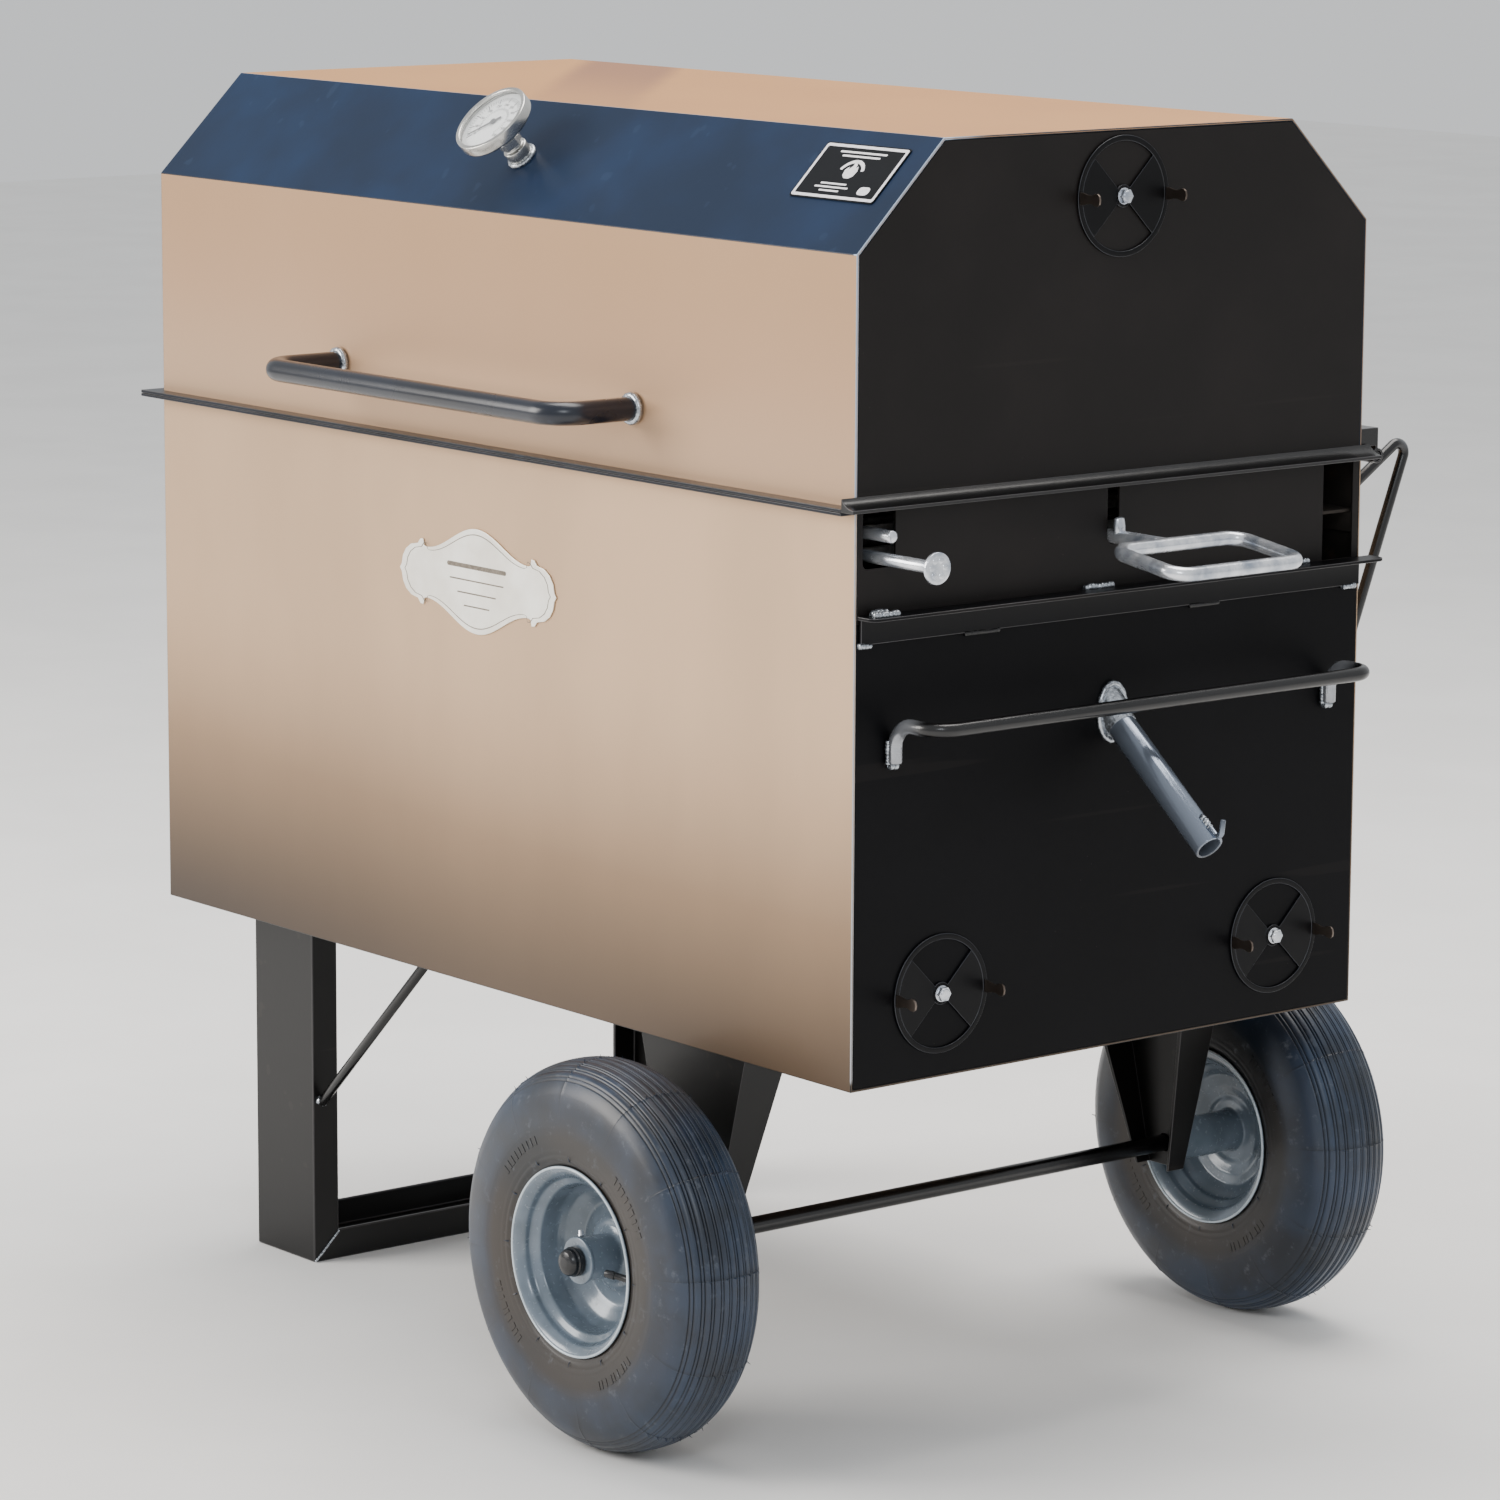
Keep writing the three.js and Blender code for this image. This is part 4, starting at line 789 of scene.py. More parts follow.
BAR_Y, BAR_Z, BAR_REACH, BAR_RADIUS = DEPTH / 2 - 41, LEDGE_TOP - 95, 62.0, 6.35
BAR_FOOT, BAR_BEND = 36, 22  # how far its ends turn down, and the radius of its bends
REST_X, REST_REACH, REST_LOW, REST_HIGH = END - 38.5, 102, HEIGHT - 242, HEIGHT - 49
for name, side in (("right", 1), ("left", -1)):
    near, far = side * (END + GAP + BAR_RADIUS), side * (END + GAP + BAR_REACH)
    corners = [(near, -BAR_Y, BAR_Z - BAR_FOOT), (near, -BAR_Y, BAR_Z), (far, -BAR_Y, BAR_Z),
               (far, BAR_Y, BAR_Z), (near, BAR_Y, BAR_Z), (near, BAR_Y, BAR_Z - BAR_FOOT)]
    bar = put("push_bar_" + name + "_rod", [tube(bent(corners, BAR_BEND, 12), BAR_RADIUS, 24)], FRAME_BLACK,
              "frame", ["push_bar_" + name])
    wear_near(bar, [(near, y, BAR_Z - d) for y in (-BAR_Y, BAR_Y) for d in (4, 24)], 42)
    feet = [(y, s) for y in (-BAR_Y, BAR_Y) for s in (-1, 1)]
    beads = [bead((near - side * 3.4, y + s * 5, BAR_Z - BAR_FOOT),
                  (near - side * 3.6, y + s * 4.6, BAR_Z - 15), 2.6, seed=i) for i, (y, s) in enumerate(feet)]
    beads += [bead((near - side * 2.2, y - 4.4, BAR_Z - 37), (near - side * 2.2, y + 4.4, BAR_Z - 37.5), 3.6,
                   seed=21) for y in (-BAR_Y, BAR_Y)]
    put("push_bar_" + name + "_welds", beads, WELD, "frame")

    apex = np.array([side * REST_X, DEPTH / 2 + REST_REACH, LID_BASE - GAP / 2 + 17])
    ends = [np.array([side * REST_X, DEPTH / 2 + GAP + 1, z]) for z in (REST_LOW, REST_HIGH)]
    rest = put("lid_rest_" + name + "_rod", [tube(bent([ends[1], apex, ends[0]], 9, 12), 5, 20)], FRAME_BLACK,
               "frame", ["lid_rest_" + name])
    wear_near(rest, [apex], 26)
    put("lid_rest_" + name + "_welds", [bead(p + (-6, 2, -3), p + (6, 2, 3), 3.0, Y, seed=7) for p in ends],
        WELD, "frame")


# ---- drain spout
DROP = math.radians(38.5)
SPOUT = np.array([END, -3.0, LEDGE_TOP - 112])
SPOUT_LENGTH, SPOUT_R, SPOUT_WALL = 165.0, 13.35, 2.6
down = np.array([math.cos(DROP), 0, -math.sin(DROP)])
lift = np.array([math.sin(DROP), 0, math.cos(DROP)])


def on_spout(a, above=0.0):
    """A point that far down the spout's axis and that far above it."""
    return SPOUT + down * a + lift * above


bore = SPOUT_R - SPOUT_WALL
pipe = turned([(SPOUT_R, -8), (SPOUT_R, SPOUT_LENGTH), (bore, SPOUT_LENGTH), (bore, -8)], 0.8, 48,
              SPOUT, down, Y, 3, True)
hook_start, hook_bend = (on_spout(SPOUT_LENGTH + a, SPOUT_R + 1.2) for a in (-26, 6))
hook = tube(bent([hook_start, hook_bend, hook_bend + (3, 0, 20)], 5, 10), 2.4, 14)
spout = put("drain_spout_tube", [pipe, hook], SPOUT_PAINT_AND_HIGHLIGHT, "frame", ["drain_spout"])
# This wear spreads along the whole pipe, so the spout shows the pale blue painted highlight as well as worn
# paint at its ends.
wear_near(spout, [on_spout(a, SPOUT_R) for a in (4, 165, 172)], 34)
on_wall = SPOUT + X * 0.4
collar = [(on_wall, 15.4, 25.5, Z), (on_wall + X * 1.6, 15.2, 24.2, Z), (on_spout(9), 14.2, 16.2, lift),
          (on_spout(19), 13.8, 13.8, lift), (on_spout(19), 12.9, 12.9, lift), (on_wall, 12.6, 16, Z)]
collar = np.stack([ellipse(middle, Y * half_width, up * half_height, 48)
                   for middle, half_width, half_height, up in collar])
hook_weld = bead(*(on_spout(SPOUT_LENGTH + a, SPOUT_R + 1) for a in (-24, -10)), 3.1, seed=2)
put("drain_spout_weld", [surface(collar, True, True),
                         ring_weld(on_wall + X * 1.4, Y * 15.6, Z * 25.6, 48, 2.0, 0.7, 6.5), hook_weld],
    WELD, "frame")


# ---- dampers
DAMPER_R, DAMPER_RIM, DAMPER_HUB, DAMPER_THICK = 53.0, 5.0, 10.0, 2.0
TAB_HALF = np.array([(0.2, 5.5), (6, 5.4), (12, 3.9), (17, 3.9), (21, 5.4), (24.5, 5.5), (27.2, 3.6),
                     (28, 0)])
FACE = END + GAP
BOLT_FLATS = arc(6.7, 0, 300, 6)


def band(outer, inner, rounding, sides, where):
    """A flat ring of a damper's thickness."""
    section = [(outer, 0), (outer, DAMPER_THICK), (inner, DAMPER_THICK), (inner, 0)]
    return turned(section, rounding, sides, where, X, Y, 2, True)


def damper(which, y, z, rides, bolt_rides):
    """A disc with two open quarters, two bent finger tabs and its bolt."""
    name, where = "air_" + which, np.array([FACE, y, z])
    disc = []
    for middle in (0, 180):
        outline = np.vstack([arc(DAMPER_R - DAMPER_RIM, middle - 45, middle + 45, 28),
                             arc(DAMPER_HUB - 1, middle + 45, middle - 45, 12)])
        disc.append(slab(outline, where, Y, Z, DAMPER_THICK))
    disc += [band(DAMPER_R, DAMPER_R - DAMPER_RIM, 0.5, 96, where), band(DAMPER_HUB, 4.8, 0.4, 40, where)]
    put(name + "_disc", disc, DAMPER_BLACK, rides, ["damper_disc_" + which], bevel=0.4,
        edge=DAMPER_EDGE_HIGHLIGHT)
    outline = np.vstack([TAB_HALF * (1, -1), TAB_HALF[::-1][1:]])
    put(name + "_tabs", [slab(outline, where + Y * (s * 50.5 - 1), X, Z, -2.0) for s in (-1, 1)], TAB, rides,
        bevel=0.6)
    inside, on_disc = END - SHEET - GAP, where + X * (DAMPER_THICK + GAP)
    washer = turned([(4.2, 0), (7.3, 0), (7.3, 1.0), (4.2, 1.0)], 0.4, 32,
                    where + X * (DAMPER_THICK + 0.1), X, Y, 2, True)
    point = turned([(0, 0), (5.4, 0), (4.4, 1.1), (0, 1.3)], 0.4, 24, on_disc + X * 4.9, X, Y)
    put(name + "_bolt", [slab(BOLT_FLATS, on_disc + X * 0.9, Y, Z, 4.0), washer,
                         rod((inside - 10, y, z), (FACE + DAMPER_THICK + 6, y, z), 4, 20), point,
                         slab(BOLT_FLATS, (inside - 6, y, z), Y, Z, 6.0)],
        ZINC, bolt_rides, ["damper_bolt_" + which], bevel=0.4)


damper("front", -(DEPTH / 2 - 100), 75, "front_damper", "frame")
damper("rear", DEPTH / 2 - 100, 75, "rear_damper", "frame")
damper("lid", 0, LID_TOP - 59, "lid_damper", "lid")


# ---- thermometer
def on_slope(x, share):
    """A place on the front slope: that far along, and that share of the way up."""
    return np.array([x, FRONT + SLOPE_RUN * share, LID_BASE + LID_WALL + SLOPE_RISE * share])


UPHILL = np.array([0, math.cos(SLOPE), math.sin(SLOPE)])
OUTWARD = np.array([0, -math.sin(SLOPE), math.cos(SLOPE)])
CASE_R, CASE_BACK, CASE_FRONT = 38.0, 38.0, 53.0
DIAL_AT, RING = CASE_FRONT - 6, CASE_R - 2.3
DIAL_START, DIAL_SWEEP, DIAL_STEP, NEEDLE_AT = 225, 270, 50, 220
foot = on_slope(0, 0.49)


def gauge_part(corners, rounding, sides, steps=4, closed=False):
    """A profile of [radius, height above the slope] turned about the gauge's stem."""
    return turned(corners, rounding, sides, foot, OUTWARD, X, steps, closed)


cup = [(0, CASE_BACK), (33, CASE_BACK), (CASE_R, CASE_BACK + 4), (CASE_R, CASE_FRONT),
       (CASE_R - 4, CASE_FRONT), (CASE_R - 4, CASE_FRONT - 3), (CASE_R - 2.2, CASE_FRONT - 4),
       (CASE_R - 2.2, CASE_BACK + 2), (0, CASE_BACK + 2)]
probe = [(0, -70), (4.5, -68), (4.5, CASE_BACK), (0, CASE_BACK)]
put("gauge_case_turned", [gauge_part(cup, 1.0, 96, 3), gauge_part(probe, 1.0, 24, 3)], STEEL, "lid",
    ["gauge_case"])
bung = [(5.4, 0.3), (12, 0.3), (12, 14), (9, 15), (9, 19), (5.4, 19)]
thread = [(9.2 + 0.55 * (i % 2), 29 + i * 0.62) for i in range(15)]
put("gauge_fitting_turned", [gauge_part(bung, 0.6, 48, 2, True),
                             gauge_part([(5.4, 28), (9.2, 28), *thread, (5.4, 38)], 0, 40, 1, True),
                             slab(arc(11.5, 0, 300, 6), foot + OUTWARD * 18, X, UPHILL, 10.5)],
    STEEL, "lid", ["gauge_fitting"], bevel=0.5)
put("gauge_bung_weld", [ring_weld(foot + OUTWARD * 1.8, X * 12.6, UPHILL * 12.6, 40, 2.2, 0.5, 7, 10)], WELD,
    "lid")
dial = [(2.4, DIAL_AT - 1), (RING - 0.6, DIAL_AT - 1), (RING - 0.6, DIAL_AT), (2.4, DIAL_AT)]
put("gauge_dial_plate", [gauge_part(dial, 0.2, 72, 2, True)], DIAL, "lid", ["gauge_dial"])


def turned_axes(angle):
    """The dial's outward and sideways directions at an angle from the lid's length."""
    a = math.radians(angle)
    return X * math.cos(a) + UPHILL * math.sin(a), -X * math.sin(a) + UPHILL * math.cos(a)


def on_dial(outline, angle, above, thick):
    """A flat outline, its first axis pointing out at that angle, laid on the dial."""
    return slab(outline, foot + OUTWARD * (DIAL_AT + above), *turned_axes(angle), thick)


def mark(angle, inner, outer, half):
    return on_dial([(inner, -half), (outer, -half), (outer, half), (inner, half)], angle, 0.05, 0.18)


def figures(text, centre, height):
    """Dial numbers as raised print: flat letters given a little thickness."""
    curve = bpy.data.curves.new("figures", "FONT")
    curve.body, curve.size, curve.extrude = text, height, 0.05
    curve.align_x, curve.align_y = "CENTER", "CENTER"
    curve.resolution_u = 2
    drawn = bpy.data.objects.new("figures", curve)
    bpy.context.scene.collection.objects.link(drawn)
    bpy.context.view_layer.update()
    flat = bpy.data.meshes.new_from_object(drawn.evaluated_get(bpy.context.evaluated_depsgraph_get()))
    co = np.zeros(len(flat.vertices) * 3, np.float32)
    flat.vertices.foreach_get("co", co)
    co = co.reshape(-1, 3)
    bpy.data.objects.remove(drawn)
    return (centre + co[:, :1] * X + co[:, 1:2] * UPHILL + (co[:, 2:] + 0.08) * OUTWARD,
            [list(p.vertices) for p in flat.polygons])


marks = [mark(DIAL_START - DIAL_SWEEP * i / 50, 26 if i % 5 else 24, 30, 0.16 if i % 5 else 0.38)
         for i in range(51)]
marks += [mark(DIAL_START - DIAL_SWEEP * i / 40, 14.5, 17 if i % 4 else 18, 0.14) for i in range(41)]
numbers = [figures(str(DIAL_STEP * (i + 1)), foot + OUTWARD * (DIAL_AT + 0.05)
                   + turned_axes(DIAL_START - DIAL_SWEEP * i / 10)[0] * 21, 4.2) for i in range(11)]
put("gauge_dial_print", marks + numbers, INK, "lid", smooth=20)
needle = [(-9, -1.3), (-3, -1.0), (27, -0.35), (28, 0), (27, 0.35), (-3, 1.0), (-9, 1.3)]
boss = [(0, 0.4), (3.2, 0.4), (3.2, 1.9), (1.5, 2.1), (0, 2.1)]
put("gauge_pointer_needle", [on_dial(needle, NEEDLE_AT, 0.8, 0.8),
                             gauge_part([(r, DIAL_AT + h) for r, h in boss], 0.4, 32)],
    NEEDLE_PAINT, "gauge_pointer", ["gauge_needle"], bevel=0.1)
window = [(0, CASE_FRONT - 3.8), (RING - 0.4, CASE_FRONT - 3.8), (RING - 0.4, CASE_FRONT - 2.4),
          (0, CASE_FRONT - 2.3)]
put("gauge_window_glass", [gauge_part(window, 0.3, 72, 2)], GLASS, "lid", ["gauge_glass"])


# ---- label and badge
LABEL_W, LABEL_H, LABEL_T, PRINT = 112.0, 63.0, 0.8, 0.12
label_foot = on_slope(END - 82.5, 0.64) + OUTWARD * GAP
on_label = label_foot + OUTWARD * LABEL_T


def rounded_box(width, height, radius, steps=6):
    """A rectangle with round corners, as an outline."""
    w, h = width / 2 - radius, height / 2 - radius
    return np.vstack([arc(radius, a, a + 90, steps) + (sx * w, sy * h)
                      for a, sx, sy in ((0, 1, 1), (90, -1, 1), (180, -1, -1), (270, 1, -1))])


def border(outer, inner, where, across, up):
    """A flat printed line between two outlines of as many points."""
    n = np.cross(across, up) * PRINT
    rows = [where + o[:, :1] * across + o[:, 1:] * up + n * t
            for o, t in ((outer, 0), (outer, 1), (inner, 1), (inner, 0))]
    return surface(np.stack(rows), True, True)


def label_shape(outline, x, y):
    return slab(outline, on_label + X * x + UPHILL * y, X, UPHILL, PRINT)


# The label is a dark plate with a pale border, a flame under an arch and bars instead of words.
put("label_ground_plate", [slab(rounded_box(LABEL_W, LABEL_H, 3), label_foot, X, UPHILL, LABEL_T)], LABEL,
    "lid", ["label_plate"], bevel=0.2)
printed = [border(rounded_box(LABEL_W - 3, LABEL_H - 3, 2.4), rounded_box(LABEL_W - 9, LABEL_H - 9, 1.6),
                  on_label, X, UPHILL)]
for x, y, wide, tall in ((0, 22, 62, 2.0), (0, 17.6, 50, 2.0), (-10, -14, 34, 1.8), (-10, -18, 44, 1.8),
                         (-10, -22, 26, 1.8), (34, -19, 15, 9)):
    printed.append(label_shape(rounded_box(wide, tall, min(wide, tall) / 2.2, 4), x, y))
flame = np.array([(-7, -6), (-8.5, 0), (-5.5, 4), (-4.5, 1), (-1.5, 5), (-2, 11), (3, 6.5), (3.5, 2.5),
                  (5.5, 5), (8, 0), (7, -6), (3, -9), (-3, -9)])
arch = np.vstack([arc(17, 20, 160, 18), arc(13.4, 160, 20, 18)])
printed += [label_shape(flame, 0, 2), label_shape(arch, 0, -3)]
put("label_print", printed, LABEL_INK, "lid", smooth=20)


def plaque(width, height):
    """A plaque's outline in a 244 x 98 box, scaled: its half height is 24 + 12.5 * (1 + cos(pi x / 80)) up to
    x = 80, then an ear that rounds off at 122."""
    middle = np.linspace(-80, 80, 49)
    arch = 24 + 12.5 * (1 + np.cos(math.pi * middle / 80))
    ear = np.array([(83, 25), (84.5, 31), (89, 30.5), (93, 26), (104, 24), (112, 19), (117, 12), (119, 4)])
    top = np.vstack([ear[::-1] * (-1, 1), np.stack([middle, arch], -1), ear])
    return np.vstack([top, (122, 0), top[::-1] * (1, -1), (-122, 0)]) * (width / 122, height / 49)


# The badge is a plain arched plaque with eared ends, an engraved border and four plain bars.
badge_at = np.array([-8, FRONT - GAP, HEIGHT - 125])
badge_face = badge_at - Y * 1.5
put("badge_plaque", [slab(plaque(122, 49), badge_at, X, Z, 1.5)], CREAM, "frame",
    ["badge_plate"], bevel=0.5)
engraved = [border(plaque(114, 44), plaque(113.1, 43.1), badge_face, X, Z)]
engraved += [slab(rounded_box(wide, tall, tall * 0.45, 3), badge_face + Z * height, X, Z, PRINT)
             for height, wide, tall in ((13, 92, 4.2), (0, 84, 1.3), (-12, 60, 1.3), (-24, 40, 1.3))]
put("badge_engraving", engraved, ENGRAVED, "frame", smooth=20)


# ---- wheels
FLANK = 25  # points of the tyre's section on each sidewall
RIB_GROOVES = np.array([-37, -29, -21, -12.5, -4.2, 4.2, 12.5, 21, 29, 37.0])
CROSS_LINES = np.arange(12) * 2 * math.pi / 12 + 0.09
ROUNDNESS, SEAT = 2.35, 87.0  # the section's exponent, and the radius where the bead meets the rim
# The rim's section as [radius, height]: hub tube and disc from inside, both lips, then the disc's face.
RIM_STEPS = [(8.8, -89), (20, -89), (20, -9), (28, -9), (34, -7), (44, -11), (54, -12), (60, -18), (66, -22),
             (66, -28), (73, -33), (74, -41), (79.6, -44.6), (85.5, -47), (86.4, -45.6), (80.5, -43.2),
             (78, -40), (77, -33), (69, -23), (69, 23), (77, 33), (78, 40), (80.5, 43.2), (86.4, 45.6),
             (85.5, 47), (82.5, 46.8), (79.6, 44.6), (75.6, 40), (74.4, 34), (67, 29), (66, 12), (61, 4),
             (53.5, -1), (47, -6), (36, -5), (31, -1), (25.5, -0.5), (22.5, 1.5), (20, 4), (20, 34),
             (21.4, 35), (21.4, 38), (8.8, 38)]


def spoke(angle):
    """The direction out from a wheel's axle at an angle in radians."""
    return np.stack([np.cos(angle), np.zeros_like(angle), np.sin(angle)], -1)


def tyre_section():
    """The tyre's outline from one bead round the tread to the other: a superellipse about the middle of the
    section, cut by rib grooves, with a bead ring, a sidewall step and shoulder lines. Returns radius, width,
    how much of each point is sidewall and how deep it lies in a groove."""
    middle, half = (WHEEL_RADIUS + BEAD) / 2, (WHEEL_RADIUS - BEAD) / 2
    fine = (RIB_GROOVES[:, None] + np.array([-2.3, -1.8, -1.3, -0.8, 0, 0.8, 1.3, 1.8, 2.3])).ravel()
    across = np.unique(np.concatenate([np.linspace(-TYRE_HALF_WIDTH, TYRE_HALF_WIDTH, 33)[1:-1], fine]))
    crown = middle + half * (1 - np.abs(across / TYRE_HALF_WIDTH) ** ROUNDNESS) ** (1 / ROUNDNESS)
    cut = sum(np.exp(-((across - g - s) / 0.45) ** 2) for g in RIB_GROOVES for s in (1.3, -1.3))
    crown = crown - 1.4 * cut + 0.5 * np.exp(-((np.abs(across) - 44.2) / 0.9) ** 2)
    radius = np.concatenate([np.linspace(middle, SEAT, 22)[1:], [84.5, 82, 80, BEAD]])
    into = np.clip((middle - radius) / (middle - SEAT), 0, 1)
    bead_in = np.interp(radius, [BEAD, 80, 82, 84.5, SEAT], [9, 6.2, 3.6, 1.4, 0])
    width = TYRE_HALF_WIDTH - 4.2 * into ** 2.3 - bead_in
    for height, at, spread in ((0.7, 93, 1.4), (0.35, 99, 0.8), (0.4, 121, 0.9)):
        width = width + height * np.exp(-((radius - at) / spread) ** 2)
    flank = np.stack([radius, width, np.clip(1.0 - (radius - 112) / 22, 0.35, 1), np.zeros_like(radius)], -1)
    tread = np.stack([crown, across, np.clip((np.abs(across) - 34) / 40, 0, 0.35), np.clip(cut, 0, 1)], -1)
    return np.vstack([flank[::-1] * (1, -1, 1, 1), tread, flank])


def tyre_wall(name, centre, section):
    """The section carried round the axle, with a low ridge across the tread on each cross line."""
    near_lines = (CROSS_LINES[:, None] + np.array([-0.007, -0.003, 0, 0.003, 0.007])).ravel()
    theta = np.unique(np.concatenate([np.linspace(0, 2 * math.pi, 200, endpoint=False), near_lines])
                      % (2 * math.pi))
    ridge = sum(np.exp(-((theta - line) / 0.0034) ** 2) for line in CROSS_LINES)[:, None] * 0.6
    radius = section[None, :, 0] + ridge * np.clip(1 - section[None, :, 2] * 1.2, 0, 1)
    grid = centre + radius[..., None] * spoke(theta)[:, None] + section[None, :, 1:2] * Y
    wall = put("tyre_" + name + "_moulded", [surface(grid, True, True)], RUBBER, name + "_wheel",
               ["tyre_" + name], smooth=60, merge=False)
    paint(wall, "sidewall", np.tile(section[:, 2], len(theta)))
    # A painted shadow line just beside each cross ridge on the tread, painted near black like the grooves'
    # shade.
    off = (theta[:, None] - CROSS_LINES - 0.005 + math.pi) % (2 * math.pi) - math.pi
    ridge_shadow = np.exp(-(off / 0.0025) ** 2).max(1)[:, None] * 0.8 * (section[None, :, 2] < 0.3)
    paint(wall, "groove", np.maximum(section[None, :, 3], ridge_shadow))


def hair(base, bend, tip):
    return tube([base, base + bend, base + tip], [0.5, 0.42, 0.2], 4, round_ends=False)


def tyre_hairs(name, side, centre, section):
    """Moulding hairs: thin spikes along the cross lines, clear of the ground, and a few on the sidewalls."""
    chance = np.random.default_rng(11 if side < 0 else 12)
    hairs = []
    for angle in CROSS_LINES:
        for across in (-33, -25, -16.7, -8.3, 0, 8.3, 16.7, 25, 33):
            if chance.random() < 0.8 and math.sin(angle) > -0.9:
                r = np.interp(across, section[FLANK:-FLANK, 1], section[FLANK:-FLANK, 0])
                out = spoke(angle)
                base = centre + out * (r - 0.4) + Y * (across + chance.uniform(-1, 1))
                lean = Y * chance.uniform(-1, 1) + np.cross(out, Y) * chance.uniform(-1, 1)
                hairs.append(hair(base, out * 2.0 + lean * 0.5, out * 3.8 + lean * 1.8))
    width = np.interp(91, section[-FLANK:, 0][::-1], section[-FLANK:, 1][::-1])
    for angle in np.linspace(0, 2 * math.pi, 12, endpoint=False):
        for outward in (-1, 1):
            out, away = spoke(angle), Y * outward
            hairs.append(hair(centre + out * 91 + away * width, away * 1.6 + out * 1.5, away * 2.2 + out * 5))
    put("tyre_" + name + "_hairs", hairs, RUBBER, name + "_wheel", smooth=60)


def tyre_relief(name, centre, section):
    """Plain raised blocks round the sidewalls, in four groups: each a patch of the sidewall with a skirt."""
    blocks = []
    rr = np.linspace(108, 116, 4)
    ww = np.interp(rr, section[-FLANK:, 0][::-1], section[-FLANK:, 1][::-1])
    edge = np.concatenate([np.arange(4), np.arange(1, 5) * 4 + 3, 16 + np.arange(3)[::-1],
                           np.arange(1, 4)[::-1] * 4])
    skirt = np.stack([edge, np.roll(edge, -1), np.roll(edge, -1) + 20, edge + 20], -1)
    for outward in (-1, 1):
        for group, i in [(group, i) for group in (0.4, 2.0, 3.5, 5.1) for i in range(9)]:
            start = group + i * 0.062
            a = np.linspace(start, start + (0.026 if i % 3 else 0.045), 5)
            top = centre + rr[:, None] * spoke(a)[:, None] + (outward * (ww + 0.4))[:, None] * Y
            points, quads = surface(top)
            blocks.append((np.vstack([points, points - Y * outward * 1.4]),
                           [*quads, *(np.array(quads)[:, ::-1] + 20), *skirt]))
    raised = put("tyre_" + name + "_relief", blocks, RUBBER, name + "_wheel", smooth=50)
    paint(raised, "sidewall", np.ones(len(raised.data.vertices)))


def rim(name, side, centre):
    """The pressed rim and its lips, the valve, the grease nipple and the hub cap."""
    axis, rides = Y * side, name + "_wheel"
    put("rim_" + name + "_pressed", [turned(RIM_STEPS, 2.2, 112, centre, axis, X, 3, True)], RIM, rides,
        ["rim_" + name], smooth=50)
    # The lips are finished in the paler enamel, a painted highlight line.
    for which, way in (("_inner", -1), ("_outer", 1)):
        lip = ellipse(centre + axis * (way * 46.5), X * 84.7, Z * 84.7, 128)
        put("rim_" + name + which + "_lip", [tube(lip, 1.3, 8, True)], RIM_LIP_HIGHLIGHT, rides, smooth=60)
    out = spoke(math.radians(-8))
    valve = [centre + out * r + axis * h for r, h in ((68, 20), (58, 22), (44, 28), (38, 31))]
    cap = [valve[2], (valve[2] + valve[3]) / 2, valve[3] - out * 4 + axis * 2]
    put("valve_" + name, [tube(valve, [5.2, 3.4, 3.1, 3.1], 18), tube(cap, [3.9, 3.9, 3.5], 18)], CAP, rides)
    up = spoke(1.9)
    nipple = [centre + axis * 28 + up * r for r in (20, 23, 26.5)]
    put("grease_nipple_" + name, [tube(nipple, [3.4, 2.6, 1.9], 14)], ZINC, rides)
    dome = rounded_profile([(8.3, 38.3), (13.5, 38.3), (13.5, 44), (12.4, 45), (12.4, 48), (10.2, 51.6),
                            (5, 53.2), (0, 53.3)], 1.4)
    cap = turned([(0, 50), (8.3, 50), *dome], 0, 56, centre, axis, X, 1)
    put("axle_cap_" + name + "_domed", [cap], CAP, "frame",
        ["axle_cap_" + name])


for name, side in (("front", -1), ("rear", 1)):
    centre, section = np.array([WHEEL_X, side * WHEEL_Y, AXLE_Z]), tyre_section()
    tyre_wall(name, centre, section)
    tyre_hairs(name, side, centre, section)
    tyre_relief(name, centre, section)
    rim(name, side, centre)

AXLE_HALF, AXLE_RADIUS = WHEEL_Y + 47, 8
put("axle_shaft", [rod((WHEEL_X, -AXLE_HALF, AXLE_Z), (WHEEL_X, AXLE_HALF, AXLE_Z), AXLE_RADIUS, 32)],
    FRAME_BLACK, "frame", ["axle"])
LEG_X, LEG_Y, BRACE_R = -END + 163.5, DEPTH / 2 - 59, 5.0
BRACE_LOW, BRACE_HIGH, BRACE_RUN = -192.0, -4.5, 192
for name, side in (("front", -1), ("rear", 1)):
    brace_y = side * (LEG_Y - 9)
    low = (LEG_X + GAP + 1.5, brace_y, BRACE_LOW)
    high = (LEG_X + BRACE_R + GAP + BRACE_RUN, brace_y, BRACE_HIGH)
    put("leg_brace_" + name + "_rod", [rod(low, high, BRACE_R, 20)], FRAME_BLACK, "frame",
        ["leg_brace_" + name])


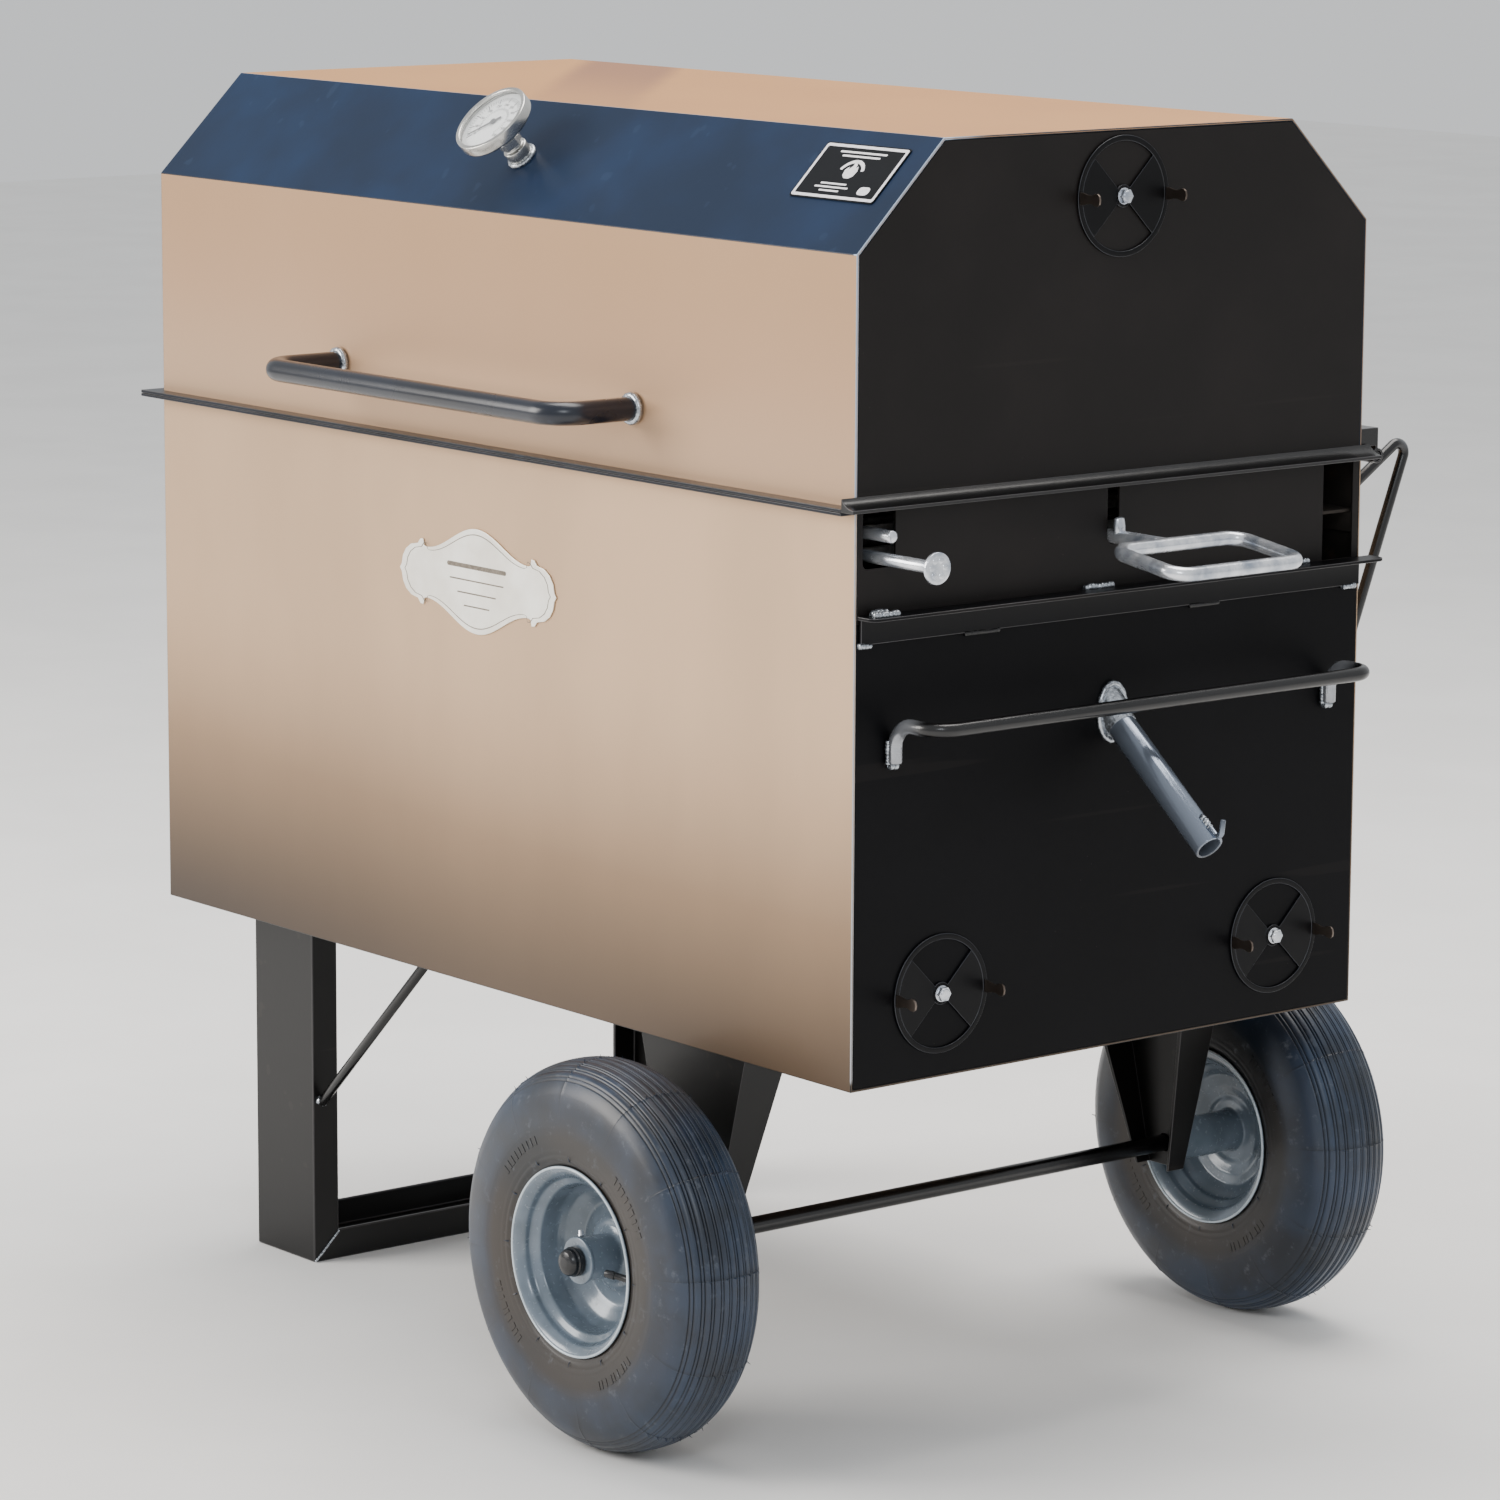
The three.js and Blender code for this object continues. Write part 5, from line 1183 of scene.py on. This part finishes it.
# ---- welds on the body and the frame
def weld_rows(name, rows, material, rides, first_seed=1):
    """Beads along the right end, each given as from and to across it, out from it, height and radius."""
    put(name, [bead((END + out, y_from, z), (END + out, y_to, z), radius, seed=first_seed + i)
               for i, (y_from, y_to, out, z, radius) in enumerate(rows)], material, rides)


ON_LEDGE, UNDER_LEDGE, ON_LIP = LEDGE_TOP + 1.6, LEDGE_TOP - 26, LID_BASE + 0.9
weld_rows("ledge_welds", [(-290, -262, 15, LEDGE_TOP + 1.2, 3.4), (-286, -268, 7, ON_LEDGE, 4.0),
                          (-40, -6, 3.2, ON_LEDGE, 3.4), (206, 232, 3.2, ON_LEDGE, 3.2),
                          (-296, -282, 2.6, UNDER_LEDGE, 2.6), (276, 292, 2.6, UNDER_LEDGE, 2.6)],
          WELD, "frame")
weld_rows("ledge_stitches", [(-178, -138, 2.2, UNDER_LEDGE, 2.2), (86, 122, 2.2, UNDER_LEDGE, 2.2)],
          FRAME_BLACK, "frame", 7)
weld_rows("lip_welds", [(-299, -272, 6, ON_LIP, 0.9), (-236, -216, 5, ON_LIP, 0.9), (8, 28, 5, ON_LIP, 0.9)],
          WELD, "lid")
leg_welds = []
for side in (-1, 1):
    leg_welds += [bead((LEG_X + 1.5, side * (LEG_Y - 14), BRACE_LOW - 1),
                       (LEG_X + 1.5, side * (LEG_Y - 4), BRACE_LOW + 4), 4.2, seed=9),
                  bead((LEG_X + 0.6, side * (LEG_Y - 1), 1 - ABOVE_GROUND),
                       (LEG_X + 0.6, side * (LEG_Y - 30), 29 - ABOVE_GROUND), 1.3, X, seed=10)]
put("leg_welds", leg_welds, WELD, "frame")


# ---- floor
HALF_FLOOR = 12.0  # metres
floor_mesh = bpy.data.meshes.new("floor")
square = ((-1, -1), (1, -1), (1, 1), (-1, 1))
floor_mesh.from_pydata([(x * HALF_FLOOR, y * HALF_FLOOR, 0) for x, y in square], [], [(0, 1, 2, 3)])
floor = bpy.data.objects.new("floor", floor_mesh)
bpy.context.scene.collection.objects.link(floor)
floor_mesh.materials.append(plain_skin("studio_floor", "f2f1ef", "f7f6f4", 0.8, 0.0, 3))
